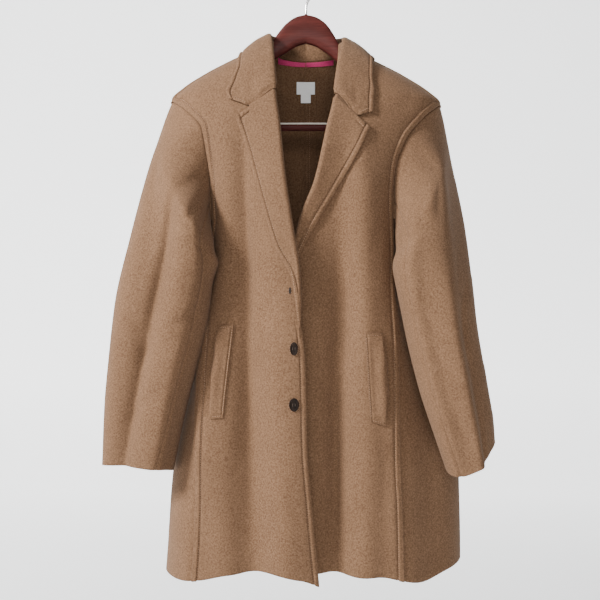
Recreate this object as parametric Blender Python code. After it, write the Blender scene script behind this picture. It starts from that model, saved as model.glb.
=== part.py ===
"""Wool topcoat hanging on a wooden suit hanger.

Metres, +Z up. The coat faces -Y, left and right are the viewer's, and the origin is
the seat of the hanger's hook. Every panel is a wall of cloth laid on one body form,
where a point has a turn (0 centre front, 1 side, 2 centre back) and a height.
"""

import math
from collections import namedtuple

import bmesh
import bpy
import numpy as np

LEFT, RIGHT = -1, 1
WORD = {LEFT: "left", RIGHT: "right"}

# Cloth
CLOTH = 0.0022  # one wall of melton wool
DOUBLE = 0.0034  # collar and lapels, cloth and facing together
SEAM = 0.0003  # space between two sewn edges
BAND = 0.007  # raised band along a lapped seam
BAND_RISE = 0.0012
BAND_SLOPE = 0.0015

# Heights on the body form
NECK = -0.127  # neck end of the shoulder seam
TIP = -0.2165  # shoulder point
UNDERARM = -0.41
HEM = -0.962

# Body form
SQUARE = 0.30  # how boxy a section is, 0 for an ellipse
SQUARE_BACK = 0.62  # the same for its back half below the shoulders
SHOULDER_TURN = 0.90  # the shoulder seam lies forward of the ridge
BACK_ARM_TURN = 1.22  # lower end of the back armhole
SHOULDER_DROP = {LEFT: 0.0, RIGHT: 0.006}
NECK_DIP = 0.0115  # the back neck is lower than the neck end of the shoulder
UNDERARM_DIP = 0.014
HEM_LIFT = 0.25  # share of a hollow's depth by which the hem rises in it
HEM_START = -0.80  # the hem's rise fades out up to this height

Level = namedtuple("Level", "height left right front back")
# Front hem: how far it is lifted, over the distance from the middle
Rise = namedtuple("Rise", "x rise")
HEM_RISE = {
    LEFT: [
        Rise(-0.020, 0.000),
        Rise(0.009, 0.0125),
        Rise(0.047, 0.0185),
        Rise(0.083, 0.0150),
        Rise(0.120, 0.0140),
        Rise(0.160, 0.0045),
        Rise(0.200, 0.000),
    ],
    RIGHT: [
        Rise(-0.020, 0.0150),
        Rise(0.028, 0.0145),
        Rise(0.066, 0.0120),
        Rise(0.103, 0.0150),
        Rise(0.141, 0.0090),
        Rise(0.178, 0.0010),
        Rise(0.216, 0.0120),
        Rise(0.246, 0.0200),
    ],
}
BODY = [
    Level(NECK, 0.062, 0.062, 0.030, 0.050),
    Level(-0.147, 0.106, 0.106, 0.045, 0.055),
    Level(-0.162, 0.1365, 0.1365, 0.053, 0.060),
    Level(-0.173, 0.157, 0.157, 0.058, 0.063),
    Level(-0.198, 0.1958, 0.1958, 0.066, 0.067),
    Level(TIP, 0.2137, 0.2137, 0.072, 0.070),
    Level(-0.260, 0.198, 0.198, 0.082, 0.078),
    Level(-0.320, 0.172, 0.172, 0.092, 0.087),
    Level(UNDERARM, 0.152, 0.151, 0.100, 0.096),
    Level(-0.470, 0.146, 0.147, 0.103, 0.099),
    Level(-0.570, 0.160, 0.172, 0.104, 0.098),
    Level(-0.660, 0.182, 0.206, 0.104, 0.100),
    Level(-0.800, 0.211, 0.244, 0.105, 0.105),
    Level(HEM, 0.2235, 0.246, 0.108, 0.112),
]

# Folds of the body, by distance from the middle: a plus depth stands out, a minus one sinks
Fold = namedtuple("Fold", "at_chest at_hem width chest waist hem")
FRONT_FOLDS = {
    LEFT: [
        Fold(0.122, 0.130, 0.024, 0.007, 0.005, 0.003),
        Fold(0.092, 0.080, 0.026, -0.009, -0.016, -0.015),
        Fold(0.045, 0.026, 0.032, 0.002, 0.005, 0.008),
        Fold(0.180, 0.190, 0.026, 0.000, 0.004, 0.010),
    ],
    RIGHT: [
        Fold(0.060, 0.047, 0.025, -0.005, -0.014, -0.014),
        Fold(0.088, 0.095, 0.022, 0.008, 0.009, 0.007),
        Fold(0.125, 0.150, 0.026, 0.000, 0.003, 0.008),
        Fold(0.170, 0.195, 0.024, 0.000, -0.010, -0.006),
    ],
}
BACK_FOLDS = {
    LEFT: [
        Fold(0.058, 0.070, 0.030, -0.006, -0.012, -0.016),
        Fold(0.112, 0.135, 0.030, 0.006, 0.010, 0.012),
    ],
    RIGHT: [
        Fold(0.050, 0.066, 0.028, -0.004, -0.010, -0.014),
        Fold(0.105, 0.130, 0.030, 0.007, 0.010, 0.013),
    ],
}
FOLD_HEIGHTS = (HEM, -0.60, -0.36, -0.23)  # hem, waist, chest and where folds end

# The right front lies this far behind the left one where they lap
Lap = namedtuple("Lap", "height depth")
LAP = [
    Lap(-0.30, 0.000),
    Lap(-0.40, 0.014),
    Lap(-0.50, 0.013),
    Lap(-0.60, 0.009),
    Lap(HEM, 0.009),
]
LAP_FULL, LAP_END = 0.024, 0.075

# Front edges under the lapels' break, and the seams, as distances from the middle
Line = namedtuple("Line", "height x")
LAP_EDGE = {
    LEFT: [
        Line(-0.594, 0.0060),
        Line(-0.632, 0.0021),
        Line(-0.759, -0.0008),
        Line(-0.837, -0.0069),
        Line(-0.895, -0.0117),
        Line(HEM, -0.0187),
    ],
    RIGHT: [Line(-0.534, -0.0363), Line(-0.70, -0.0330), Line(HEM, -0.0220)],
}
SIDE_SEAM = {
    LEFT: [
        Line(UNDERARM, 0.1430),
        Line(-0.47, 0.1445),
        Line(-0.56, 0.1515),
        Line(-0.715, 0.1620),
        Line(HEM, 0.1680),
    ],
    RIGHT: [
        Line(UNDERARM, 0.1290),
        Line(-0.50, 0.1275),
        Line(-0.61, 0.1350),
        Line(-0.76, 0.1385),
        Line(HEM, 0.1455),
    ],
}
ARMHOLE_FRONT = {
    LEFT: [
        Line(TIP, 0.2111),
        Line(-0.240, 0.182),
        Line(-0.267, 0.160),
        Line(-0.335, 0.150),
        Line(UNDERARM, 0.1430),
    ],
    RIGHT: [
        Line(TIP, 0.2111),
        Line(-0.245, 0.180),
        Line(-0.286, 0.150),
        Line(-0.330, 0.1355),
        Line(UNDERARM, 0.1290),
    ],
}
ARMHOLE_BACK = [
    Line(-0.224, 0.2020),
    Line(-0.240, 0.1900),
    Line(-0.270, 0.1760),
    Line(-0.320, 0.1580),
    Line(-0.365, 0.1480),
]

# Lapels, from the gorge down to the break: roll line and free edge
Lapel = namedtuple("Lapel", "roll_x roll_z edge_x edge_z")
LAPEL = {
    LEFT: [
        Lapel(0.0468, -0.2130, 0.1078, -0.2524),
        Lapel(0.0405, -0.2620, 0.0904, -0.3042),
        Lapel(0.0318, -0.3450, 0.0666, -0.3886),
        Lapel(0.0195, -0.4250, 0.0446, -0.4582),
        Lapel(0.0085, -0.4920, 0.0225, -0.5006),
        Lapel(0.0062, -0.5450, 0.0150, -0.5460),
        Lapel(0.0060, -0.5900, 0.0105, -0.5900),
    ],
    RIGHT: [
        Lapel(0.0414, -0.2249, 0.0963, -0.2708),
        Lapel(0.0317, -0.2671, 0.0781, -0.3088),
        Lapel(0.0123, -0.3522, 0.0465, -0.3640),
        Lapel(-0.0076, -0.4022, 0.0160, -0.4155),
        Lapel(-0.0242, -0.4582, -0.0085, -0.4605),
        Lapel(-0.0333, -0.5036, -0.0245, -0.5036),
        Lapel(-0.0363, -0.5300, -0.0310, -0.5300),
    ],
}
ROLL = 0.0042  # radius of the lapel's turn, on its middle surface
ROLL_BREAK = 0.0024  # the same at the break
LAPEL_REST = 0.0041  # lapel to front at the free edge, middle to middle
GORGE = 0.0016  # collar above lapel at the gorge, middle to middle of their edges
NOTCH = 0.62  # share of the lapel's top that is sewn to the collar
NECK_IN = 0.0560  # front's inner end at the neck

# Collar, from centre back to the gorge: its crest, and its free edge on the body form
Collar = namedtuple("Collar", "along x y z edge_turn edge_height")
COLLAR = {
    LEFT: [
        Collar(0.00, 0.0000, 0.0570, -0.1040, 2.000, -0.1570),
        Collar(0.28, 0.0390, 0.0410, -0.1030, 1.655, -0.1590),
        Collar(0.50, 0.0575, 0.0080, -0.1055, 1.100, -0.1448),
        Collar(0.62, 0.0570, -0.0200, -0.1135, 0.745, -0.1500),
        Collar(0.80, 0.0515, -0.0560, -0.1530, 0.433, -0.1820),
        Collar(1.00, 0.0452, -0.0765, -0.2095, 0.338, -0.2245),
    ],
    RIGHT: [
        Collar(0.00, 0.0000, 0.0570, -0.1040, 2.000, -0.1570),
        Collar(0.28, 0.0400, 0.0410, -0.1050, 1.667, -0.1610),
        Collar(0.50, 0.0600, 0.0080, -0.1105, 1.100, -0.1471),
        Collar(0.62, 0.0600, -0.0200, -0.1200, 0.730, -0.1500),
        Collar(0.71, 0.0570, -0.0400, -0.1390, 0.455, -0.1720),
        Collar(0.80, 0.0510, -0.0570, -0.1610, 0.345, -0.1990),
        Collar(0.90, 0.0460, -0.0690, -0.1900, 0.318, -0.2230),
        Collar(1.00, 0.0418, -0.0785, -0.2180, 0.328, -0.2460),
    ],
}
COLLAR_REST = 0.0050  # collar's free edge to the body, middle to middle
FOOT_GAP = 0.0012  # room for the thicker stand above the neck seam
CORNER = 0.58  # where the collar's foot passes from the shoulder to the front's inner edge
CREST = 0.0045  # radius of the collar's turn, on its middle surface

# Sleeves: rings down from the armhole. The outer side is higher by the rise and further back by the
# swing, and the back is higher by the back rise
Ring = namedtuple("Ring", "height inner outer front back rise swing back_rise")
SLEEVE = {
    LEFT: [
        Ring(-0.376, 0.152, 0.245, -0.105, 0.042, 0.080, 0.045, 0.0),
        Ring(-0.460, 0.144, 0.272, -0.115, 0.002, 0.030, 0.015, 0.0),
        Ring(-0.550, 0.151, 0.2945, -0.116, -0.010, 0.008, 0.0, 0.0),
        Ring(-0.650, 0.173, 0.3062, -0.110, -0.014, 0.0, 0.0, 0.0),
        Ring(-0.720, 0.190, 0.3125, -0.100, -0.012, 0.0, 0.0, -0.002),
        Ring(-0.793, 0.207, 0.3155, -0.095, -0.015, 0.004, 0.0, -0.006),
    ],
    RIGHT: [
        Ring(-0.376, 0.144, 0.2335, -0.105, 0.040, 0.078, 0.050, 0.0),
        Ring(-0.460, 0.133, 0.2480, -0.135, -0.010, 0.030, 0.025, 0.0),
        Ring(-0.560, 0.147, 0.2535, -0.150, -0.046, 0.010, 0.0, 0.0),
        Ring(-0.660, 0.169, 0.2685, -0.155, -0.062, 0.006, 0.0, 0.006),
        Ring(-0.720, 0.190, 0.2775, -0.153, -0.066, 0.012, 0.0, 0.012),
        Ring(-0.766, 0.209, 0.2810, -0.149, -0.070, 0.019, 0.0, 0.018),
    ],
}
ARM_POINTS = 60  # points along each side of the armhole
RING_ROWS = (4, 4, 3, 3, 3, 3)
SLEEVE_FRONT_SEAM = (152.0, 122.0)  # degrees round from the outer side, at the top and the cuff
SLEEVE_BACK_SEAM = (302.0, 292.0)
UNDER_SPREAD = (0.0, 0.10, 0.19, 0.24, 0.29, 0.34, 0.39, 0.44, 0.49, 0.60, 0.73, 0.86, 1.0)
SLEEVE_STEP = 0.0022  # room for the sleeve's wall where it turns out of the armhole
UNDERARM_CLEAR = 0.0050  # the sleeve hangs this far outside the body's cloth under the arm
SleeveFold = namedtuple("SleeveFold", "at_top at_cuff width depth")
SLEEVE_FOLDS = {
    LEFT: [
        SleeveFold(75.0, 60.0, 22.0, -0.010),
        SleeveFold(108.0, 122.0, 18.0, 0.006),
        SleeveFold(230.0, 240.0, 24.0, -0.006),
    ],
    RIGHT: [
        SleeveFold(70.0, 70.0, 13.0, 0.006),
        SleeveFold(35.0, 35.0, 24.0, -0.007),
        SleeveFold(115.0, 105.0, 20.0, -0.004),
        SleeveFold(235.0, 235.0, 24.0, -0.006),
    ],
}

# Pocket welts, on the fronts: corners as distance from the middle and height
WELT = {
    LEFT: ((0.1165, -0.5717), (0.1392, -0.5747), (0.1498, -0.7132), (0.1271, -0.7109)),
    RIGHT: ((0.0920, -0.5836), (0.1176, -0.5851), (0.1237, -0.7208), (0.1010, -0.7148)),
}
WELT_THICK = 0.0026

# Buttons
BUTTON_RADIUS = 0.0100
BUTTON_THICK = 0.0030
BUTTON_X = -0.0182
BUTTON_HEIGHTS = (-0.522, -0.6065, -0.6897)  # the first is under the lap, the others are done up

# Trim inside the back neck
TAPE_WIDTH = 0.0065
TAPE_THICK = 0.0010
LABEL_SIZE = (0.030, 0.024)
TAB_SIZE = (0.016, 0.016)
LABEL_TOP = -0.1614
LABEL_THICK = 0.0008
TRIM_GAP = 0.0005  # between the trim and the back's cloth

# Hanger
HANGER_TOP = -0.075
HANGER_REACH = 0.196
HANGER_HALF = 0.0085  # half its thickness
HANGER_SLACK = 0.0014  # air between cloth and wood on the shoulder
Arm = namedtuple("Arm", "x top bottom")  # from the middle out to where the arm meets the shoulder
HUMP = [
    Arm(0.000, HANGER_TOP, -0.121),
    Arm(0.015, -0.0785, -0.1255),
    Arm(0.030, -0.0880, -0.1345),
    Arm(0.046, -0.1065, -0.1440),
    Arm(0.053, -0.1180, -0.1490),
    Arm(0.059, -0.1310, -0.1560),
]
ARM_DEPTH = (0.036, 0.026)  # top to bottom, where the shoulder starts and at the tip
BAR_HEIGHT = -0.256
BAR_RADIUS = 0.0060
ARM_END = (0.034, 0.018)  # where the arm starts to deepen and where it reaches the bar, from its tip
HOOK_WIRE = 0.0020
HOOK_RADIUS = 0.0220


def ramp(value, low, high):
    """Runs from 0 at low to 1 at high, with soft ends."""
    t = np.clip((np.asarray(value, float) - low) / (high - low), 0.0, 1.0)
    return t * t * (3.0 - 2.0 * t)


def smooth(at, keys, values):
    """Reads values at some keys on a curve through the given ones that doesn't overshoot."""
    keys, values = np.asarray(keys, float), np.asarray(values, float)
    order = np.argsort(keys)
    keys, values = keys[order], values[order]
    step = np.diff(keys)
    slope = np.diff(values) / step
    bend = np.empty_like(values)
    bend[0], bend[-1] = slope[0], slope[-1]
    same = slope[:-1] * slope[1:] > 0
    total = np.where(same, slope[:-1] + slope[1:], 1.0)
    bend[1:-1] = np.where(same, 2.0 * slope[:-1] * slope[1:] / total, 0.0)
    at = np.clip(np.asarray(at, float), keys[0], keys[-1])
    i = np.clip(np.searchsorted(keys, at) - 1, 0, len(step) - 1)
    t = (at - keys[i]) / step[i]
    near = values[i] * (1 + 2 * t) * (1 - t) ** 2 + bend[i] * step[i] * t * (1 - t) ** 2
    far = values[i + 1] * t * t * (3 - 2 * t) - bend[i + 1] * step[i] * t * t * (1 - t)
    return near + far


def through(at, stations):
    """Reads one place on smooth curves through a list of point rows."""
    flat = stations.reshape(len(stations), -1)
    read = [smooth(at, np.arange(len(stations)), flat[:, k]) for k in range(flat.shape[1])]
    return np.array(read).reshape(stations.shape[1:])


def column(table, name, at, key="height"):
    return smooth(at, [getattr(row, key) for row in table], [getattr(row, name) for row in table])


def folds(table, x, height):
    """How far the folds of one face stand out at a distance from the middle and a height."""
    out = np.zeros(np.broadcast(x, height).shape)
    for fold in table:
        along = ramp(height, -0.36, HEM)
        middle = fold.at_chest + (fold.at_hem - fold.at_chest) * along
        depth = smooth(height, FOLD_HEIGHTS, (fold.hem, fold.waist, fold.chest, 0.0))
        out = out + depth * np.exp(-(((x - middle) / fold.width) ** 2))
    return out


def body(side, turn, height):
    """Middle surface of the body's cloth."""
    turn, height = np.broadcast_arrays(np.asarray(turn, float), np.asarray(height, float))
    sin, cos = np.sin(turn * math.pi / 2), np.cos(turn * math.pi / 2)
    half = column(BODY, WORD[side], height)
    x = half * sin
    deep = np.where(turn < 1, column(BODY, "front", height), column(BODY, "back", height))
    back_boxy = SQUARE_BACK + (SQUARE - SQUARE_BACK) * ramp(height, -0.30, TIP)
    y = -deep * cos * (1 + np.where(turn < 1, SQUARE, back_boxy) * sin * sin)
    out = np.where(
        turn < 1, folds(FRONT_FOLDS[side], x, height), folds(BACK_FOLDS[side], x, height)
    )
    y = y - out * cos
    if side == RIGHT:
        under = column(LAP, "depth", height) * (1 - ramp(x, LAP_FULL, LAP_END))
        y = y + np.where(turn < 1, under, 0.0)
    z = height - SHOULDER_DROP[side] * sin * sin * ramp(height, -0.50, TIP)
    z = z - HEM_LIFT * out * np.abs(cos) * ramp(height, -0.62, HEM)
    z = z + column(HEM_RISE[side], "rise", x, "x") * (1 - ramp(turn, 0.9, 1.3)) * ramp(height, HEM_START, HEM)
    z = z - NECK_DIP * ramp(turn, 1.0, 2.0) * ramp(height, TIP, NECK)
    near_arm = ramp(height, UNDERARM - 0.12, UNDERARM) * (1 - ramp(height, UNDERARM, UNDERARM + 0.05))
    z = z - UNDERARM_DIP * np.exp(-(((turn - 1) / 0.12) ** 2)) * near_arm
    return np.stack([side * x, y, z], axis=-1)


def body_out(side, turn, height):
    """Unit vectors square to the body's cloth, pointing out."""
    e, f = 1e-4, 2e-4
    across = body(side, turn + e, height) - body(side, turn - e, height)
    up = body(side, turn, np.asarray(height) + f) - body(side, turn, np.asarray(height) - f)
    out = np.cross(across, up) * side
    return out / np.linalg.norm(out, axis=-1, keepdims=True)


def turn_at(side, x, height):
    half = column(BODY, WORD[side], height)
    return np.arcsin(np.clip(x / half, -0.999, 0.999)) * 2 / math.pi


def front_inner(side, height):
    """Turn of a front's inner edge: neck, roll line, then the lap's edge."""
    rolls = LAPEL[side]
    wrap = ROLL + DOUBLE / 2
    keys = [NECK] + [row.roll_z for row in rolls] + [row.height for row in LAP_EDGE[side][1:]]
    shift = [wrap * (1 - ramp(-row.roll_z, -rolls[-1].roll_z - 0.05, -rolls[-1].roll_z)) for row in rolls]
    xs = [NECK_IN] + [row.roll_x + s for row, s in zip(rolls, shift)]
    xs = xs + [row.x for row in LAP_EDGE[side][1:]]
    return turn_at(side, smooth(height, keys, xs), height)


def front_outer(side, height):
    """Turn of a front's outer edge: side seam, armhole, then the shoulder seam."""
    height = np.asarray(height, float)
    seam = turn_at(side, column(SIDE_SEAM[side], "x", height), height)
    arm = turn_at(side, column(ARMHOLE_FRONT[side], "x", height), height)
    return np.where(height >= TIP, SHOULDER_TURN, np.where(height >= UNDERARM, arm, seam))


def back_outer(side, height):
    """Turn of a back's armhole, and of the shoulder seam above it."""
    height = np.asarray(height, float)
    keys = [UNDERARM] + [row.height for row in ARMHOLE_BACK[::-1]] + [TIP]
    turns = [BACK_ARM_TURN] + [2 - float(turn_at(side, r.x, r.height)) for r in ARMHOLE_BACK[::-1]]
    turns = turns + [SHOULDER_TURN]
    return np.where(height >= TIP, SHOULDER_TURN, smooth(height, keys, turns))


def from_edge(side, edge, height, distance, sense):
    """Turn at a distance from an edge, measured square to it, on the side that sense gives."""
    e = 2e-4
    turn = edge(side, height)
    across = (body(side, turn + e, height) - body(side, turn - e, height)) / (2 * e)
    along = body(side, edge(side, height + e), height + e) - body(side, edge(side, height - e), height - e)
    size = np.linalg.norm(across, axis=-1)
    square = np.linalg.norm(np.cross(across, along), axis=-1) / (size * np.linalg.norm(along, axis=-1))
    return turn + sense * distance / (size * np.clip(square, 0.4, 1.0))


def rows(lower, middle, upper):
    """Heights of a panel's rows, from the hem to the neck, and the index of the underarm's row."""
    low = HEM + (UNDERARM - HEM) * np.linspace(0, 1, lower + 1)
    mid = UNDERARM + (TIP - UNDERARM) * (1 - (1 - np.linspace(0, 1, middle + 1)) ** 1.5)
    top = TIP + (NECK - TIP) * np.linspace(0, 1, upper + 1)
    return np.concatenate([low, mid[1:], top[1:]]), lower


def material(name, colour, roughness, metallic=0.0):
    made = bpy.data.materials.new(name)
    made.use_nodes = True
    shader = made.node_tree.nodes["Principled BSDF"]
    shader.inputs["Base Color"].default_value = (*colour, 1.0)
    shader.inputs["Roughness"].default_value = roughness
    shader.inputs["Metallic"].default_value = metallic
    made.diffuse_color = (*colour, 1.0)
    return made


def solid(name, made, points, faces):
    """Makes one closed mesh with its faces turned out."""
    bm = bmesh.new()
    verts = [bm.verts.new(p) for p in points]
    for face in faces:
        bm.faces.new([verts[i] for i in face])
    loose = [v for v in bm.verts if not v.link_faces]
    bmesh.ops.delete(bm, geom=loose, context="VERTS")
    bmesh.ops.recalc_face_normals(bm, faces=bm.faces)
    mesh = bpy.data.meshes.new(name)
    bm.to_mesh(mesh)
    bm.free()
    mesh.materials.append(made)
    obj = bpy.data.objects.new(name, mesh)
    bpy.context.scene.collection.objects.link(obj)
    return obj


def wall(name, made, outer, inner, keep=None):
    """Closes a grid of outer points and a grid of inner points into a wall."""
    count, across = outer.shape[:2]
    if keep is None:
        keep = np.ones((count - 1, across - 1), bool)
    points = np.concatenate([outer.reshape(-1, 3), inner.reshape(-1, 3)])
    half = count * across
    faces = []
    for i in range(count - 1):
        for j in range(across - 1):
            if not keep[i, j]:
                continue
            a, b = i * across + j, i * across + j + 1
            c, d = b + across, a + across
            faces.append((a, b, c, d))
            faces.append((d + half, c + half, b + half, a + half))
            sides = ((i - 1, j, a, b), (i, j + 1, b, c), (i + 1, j, c, d), (i, j - 1, d, a))
            for m, n, start, end in sides:
                inside = 0 <= m < count - 1 and 0 <= n < across - 1 and keep[m, n]
                if not inside:
                    faces.append((end, start, start + half, end + half))
    return solid(name, made, points, faces)


def grid_out(points):
    """Unit vectors square to a grid of points."""
    out = np.cross(np.gradient(points, axis=1), np.gradient(points, axis=0))
    return out / np.linalg.norm(out, axis=-1, keepdims=True)


def sheet(name, made, middle, thick, keep=None):
    out = grid_out(middle) * thick / 2
    return wall(name, made, middle + out, middle - out, keep)


def panel(name, made, side, turn, height, rise, keep=None):
    """A wall of cloth on the body form, its outer face raised where a seam is lapped."""
    middle = body(side, turn, height)
    out = body_out(side, turn, height)
    outer = middle + out * (CLOTH / 2 + rise)[..., None]
    return wall(name, made, outer, middle - out * CLOTH / 2, keep)


def front(side, made):
    heights, _ = rows(13, 8, 7)
    inner = front_inner(side, heights)
    outer = from_edge(side, front_outer, heights, SEAM / 2, -1)
    room = outer - inner
    band = np.maximum(from_edge(side, front_outer, heights, BAND, -1), inner + 0.6 * room)
    slope = np.maximum(from_edge(side, front_outer, heights, BAND + BAND_SLOPE, -1), inner + 0.45 * room)
    share = np.linspace(0, 1, 11)
    turn = inner[:, None] + (slope - inner)[:, None] * share
    turn = np.concatenate([turn, band[:, None], outer[:, None]], axis=1)
    rise = np.zeros_like(turn)
    rise[:, -2:] = BAND_RISE
    height = np.repeat(heights[:, None], turn.shape[1], axis=1)
    return panel("front_" + WORD[side], made, side, turn, height, rise)


def back(side, made):
    heights, arm_row = rows(13, 8, 7)
    under = 6
    speed = column(BODY, WORD[side], heights) * math.pi / 2
    middle = 2 - SEAM / 2 / speed
    seam = from_edge(side, front_outer, heights, SEAM / 2, 1)
    arm = back_outer(side, heights)
    arm[:arm_row] = BACK_ARM_TURN
    shoulder = heights >= TIP
    arm = np.where(shoulder, from_edge(side, back_outer, heights, SEAM / 2, 1), arm)
    band = from_edge(side, back_outer, heights, BAND, 1)
    slope = from_edge(side, back_outer, heights, BAND + BAND_SLOPE, 1)
    band[:arm_row], slope[:arm_row] = band[arm_row], slope[arm_row]
    share = np.linspace(0, 1, under + 1)[:-1]
    low = seam[:, None] + (arm - seam)[:, None] * share
    low[arm_row + 1 :] = arm[arm_row + 1 :, None]
    share = np.linspace(0, 1, 10)
    high = slope[:, None] + (middle - slope)[:, None] * share
    turn = np.concatenate([low, arm[:, None], band[:, None], high], axis=1)
    rise = np.zeros_like(turn)
    lapped = (heights >= UNDERARM) & (heights < TIP)
    rise[lapped, under : under + 2] = BAND_RISE
    height = np.repeat(heights[:, None], turn.shape[1], axis=1)
    keep = np.ones((turn.shape[0] - 1, turn.shape[1] - 1), bool)
    keep[arm_row:, :under] = False
    return panel("back_" + WORD[side], made, side, turn, height, rise, keep)


def armhole(side):
    """The closed line that the sleeve starts from, beginning at the shoulder and going down the front."""
    down = UNDERARM + (TIP - UNDERARM) * np.linspace(1, 0, ARM_POINTS) ** 1.3
    lead = body(side, from_edge(side, front_outer, down - 1e-6, SLEEVE_STEP, 1), down)
    across = np.linspace(front_outer(side, UNDERARM), BACK_ARM_TURN, 40)[1:-1]
    base = body(side, across, UNDERARM)
    base[:, 2] += SLEEVE_STEP
    up = down[::-1]
    rear = body(side, from_edge(side, back_outer, up - 1e-6, SLEEVE_STEP, -1), up)
    line = np.concatenate([lead, base, rear])
    turns = np.concatenate([front_outer(side, down), across, back_outer(side, up)])
    levels = np.concatenate([down, np.full(len(across), UNDERARM), up])
    clear = UNDERARM_CLEAR * (1 - ramp(levels, UNDERARM, UNDERARM + 0.10))
    return line + body_out(side, turns, levels) * clear[:, None]


def ring(side, row, degrees):
    angle = np.radians(degrees)
    cos, sin = np.cos(angle), np.sin(angle)
    x = (row.outer + row.inner) / 2 + (row.outer - row.inner) / 2 * cos
    y = (row.front + row.back) / 2 + (row.front - row.back) / 2 * sin + row.swing * cos
    z = row.height + row.rise * cos - row.back_rise * sin
    return np.stack([side * x, y, z], axis=-1)


def sleeve_points(side, down, degrees):
    """Middle surface of a sleeve: down counts rings from the armhole, degrees start at the outer side."""
    line = armhole(side)
    length = np.concatenate([[0], np.cumsum(np.linalg.norm(np.diff(line, axis=0), axis=1))])
    ends = (0.0, length[ARM_POINTS // 2], length[ARM_POINTS - 1], length[-ARM_POINTS], length[-1])
    share = smooth(np.mod(degrees, 360.0), (0.0, 90.0, 180.0, 225.0, 360.0), ends)
    start = np.stack([np.interp(share, length, line[:, k]) for k in range(3)], axis=-1)
    table = SLEEVE[side]
    stations = np.array([start] + [ring(side, row, degrees) for row in table])
    points = np.array([through(d[0], stations[:, i]) for i, d in enumerate(down)])
    share = down / len(table)
    push = np.zeros(degrees.shape)
    for fold in SLEEVE_FOLDS[side]:
        middle = fold.at_top + (fold.at_cuff - fold.at_top) * share
        push += fold.depth * np.exp(-(((np.mod(degrees, 360.0) - middle) / fold.width) ** 2))
    push *= ramp(down, 0.3, 1.6)
    radians = np.radians(degrees)
    points[..., 0] += side * np.cos(radians) * push
    points[..., 1] -= np.sin(radians) * push
    return points


def sleeve_out(side, down, degrees):
    """Unit vectors square to a sleeve's cloth, pointing out."""
    around = sleeve_points(side, down, degrees + 1) - sleeve_points(side, down, degrees - 1)
    last = len(SLEEVE[side])
    lower = sleeve_points(side, np.minimum(down + 0.05, last), degrees)
    upper = sleeve_points(side, np.maximum(down - 0.05, 0), degrees)
    out = np.cross(lower - upper, around) * side
    return out / np.linalg.norm(out, axis=-1, keepdims=True)


def sleeve(side, made):
    steps = [np.linspace(i, i + 1, n + 1)[:-1] for i, n in enumerate(RING_ROWS)]
    down = np.concatenate(steps + [[len(RING_ROWS)]])
    share = down / len(RING_ROWS)
    lead = SLEEVE_FRONT_SEAM[0] + (SLEEVE_FRONT_SEAM[1] - SLEEVE_FRONT_SEAM[0]) * share
    rear = SLEEVE_BACK_SEAM[0] + (SLEEVE_BACK_SEAM[1] - SLEEVE_BACK_SEAM[0]) * share
    gap = math.degrees(SEAM / 2 / 0.03)
    for word, start, end, spread in (
        ("top", rear - 360 + gap, lead - gap, np.linspace(0, 1, 13)),
        ("under", lead + gap, rear - gap, UNDER_SPREAD),
    ):
        degrees = start[:, None] + (end - start)[:, None] * np.asarray(spread)
        rings = np.repeat(down[:, None], len(spread), axis=1)
        middle = sleeve_points(side, rings, degrees)
        out = sleeve_out(side, rings, degrees) * CLOTH / 2
        wall(f"sleeve_{word}_{WORD[side]}", made, middle + out, middle - out)


def lapel_line(side, name, along):
    table = LAPEL[side]
    return smooth(along, np.arange(len(table)), [getattr(row, name) for row in table])


def lapel(side, made):
    """The turned-back facing: it leaves the front's edge, turns on the roll line and lies on the front."""
    along = np.concatenate([[0.012], np.linspace(0.25, 6.0, 15)])
    roll_x, roll_z = lapel_line(side, "roll_x", along), lapel_line(side, "roll_z", along)
    edge_x, edge_z = lapel_line(side, "edge_x", along), lapel_line(side, "edge_z", along)
    radius = ROLL_BREAK + (ROLL - ROLL_BREAK) * (1 - ramp(along, 3.2, 5.4))
    start_turn = front_inner(side, roll_z)
    start = body(side, start_turn, roll_z)
    root_x = side * start[:, 0] - SEAM * (3 + 3 * ramp(along, 4.0, 5.0))
    columns = []
    for degrees in np.linspace(0, 180, 6):
        angle = math.radians(degrees)
        x = root_x - radius * math.sin(angle)
        y = start[:, 1] - radius * (1 - math.cos(angle))
        columns.append(np.stack([side * x, y, roll_z], axis=-1))
    for share in np.linspace(0, 1, 7)[1:]:
        x = root_x + (edge_x - root_x) * share
        z = roll_z + (edge_z - roll_z) * share
        lie = body(side, turn_at(side, x, z), z)
        lift = LAPEL_REST + (2 * radius - LAPEL_REST) * (1 - share) ** 1.3
        columns.append(np.stack([side * x, lie[:, 1] - lift, z], axis=-1))
    sheet("lapel_" + WORD[side], made, np.stack(columns, axis=1), DOUBLE)


def neck_seam(side, along):
    """Where the collar's foot stands: the back's top, the front's top, then the front's inner edge."""
    inner = float(front_inner(side, NECK))
    if along <= CORNER:
        turn = smooth(along, (0.0, 0.5, CORNER), (2.0, SHOULDER_TURN, inner))
        return body(side, turn, NECK) + (0, 0, FOOT_GAP * (1 + 2.2 * ramp(along, 0.40, 0.54)))
    share = (along - CORNER) / (1 - CORNER)
    height = NECK + (LAPEL[side][0].roll_z + 0.004 - NECK) * share
    edge = body(side, front_inner(side, height), height)
    return edge + (-side * 3.0 * FOOT_GAP, 0, 3.2 * FOOT_GAP * (1 - share))


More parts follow.
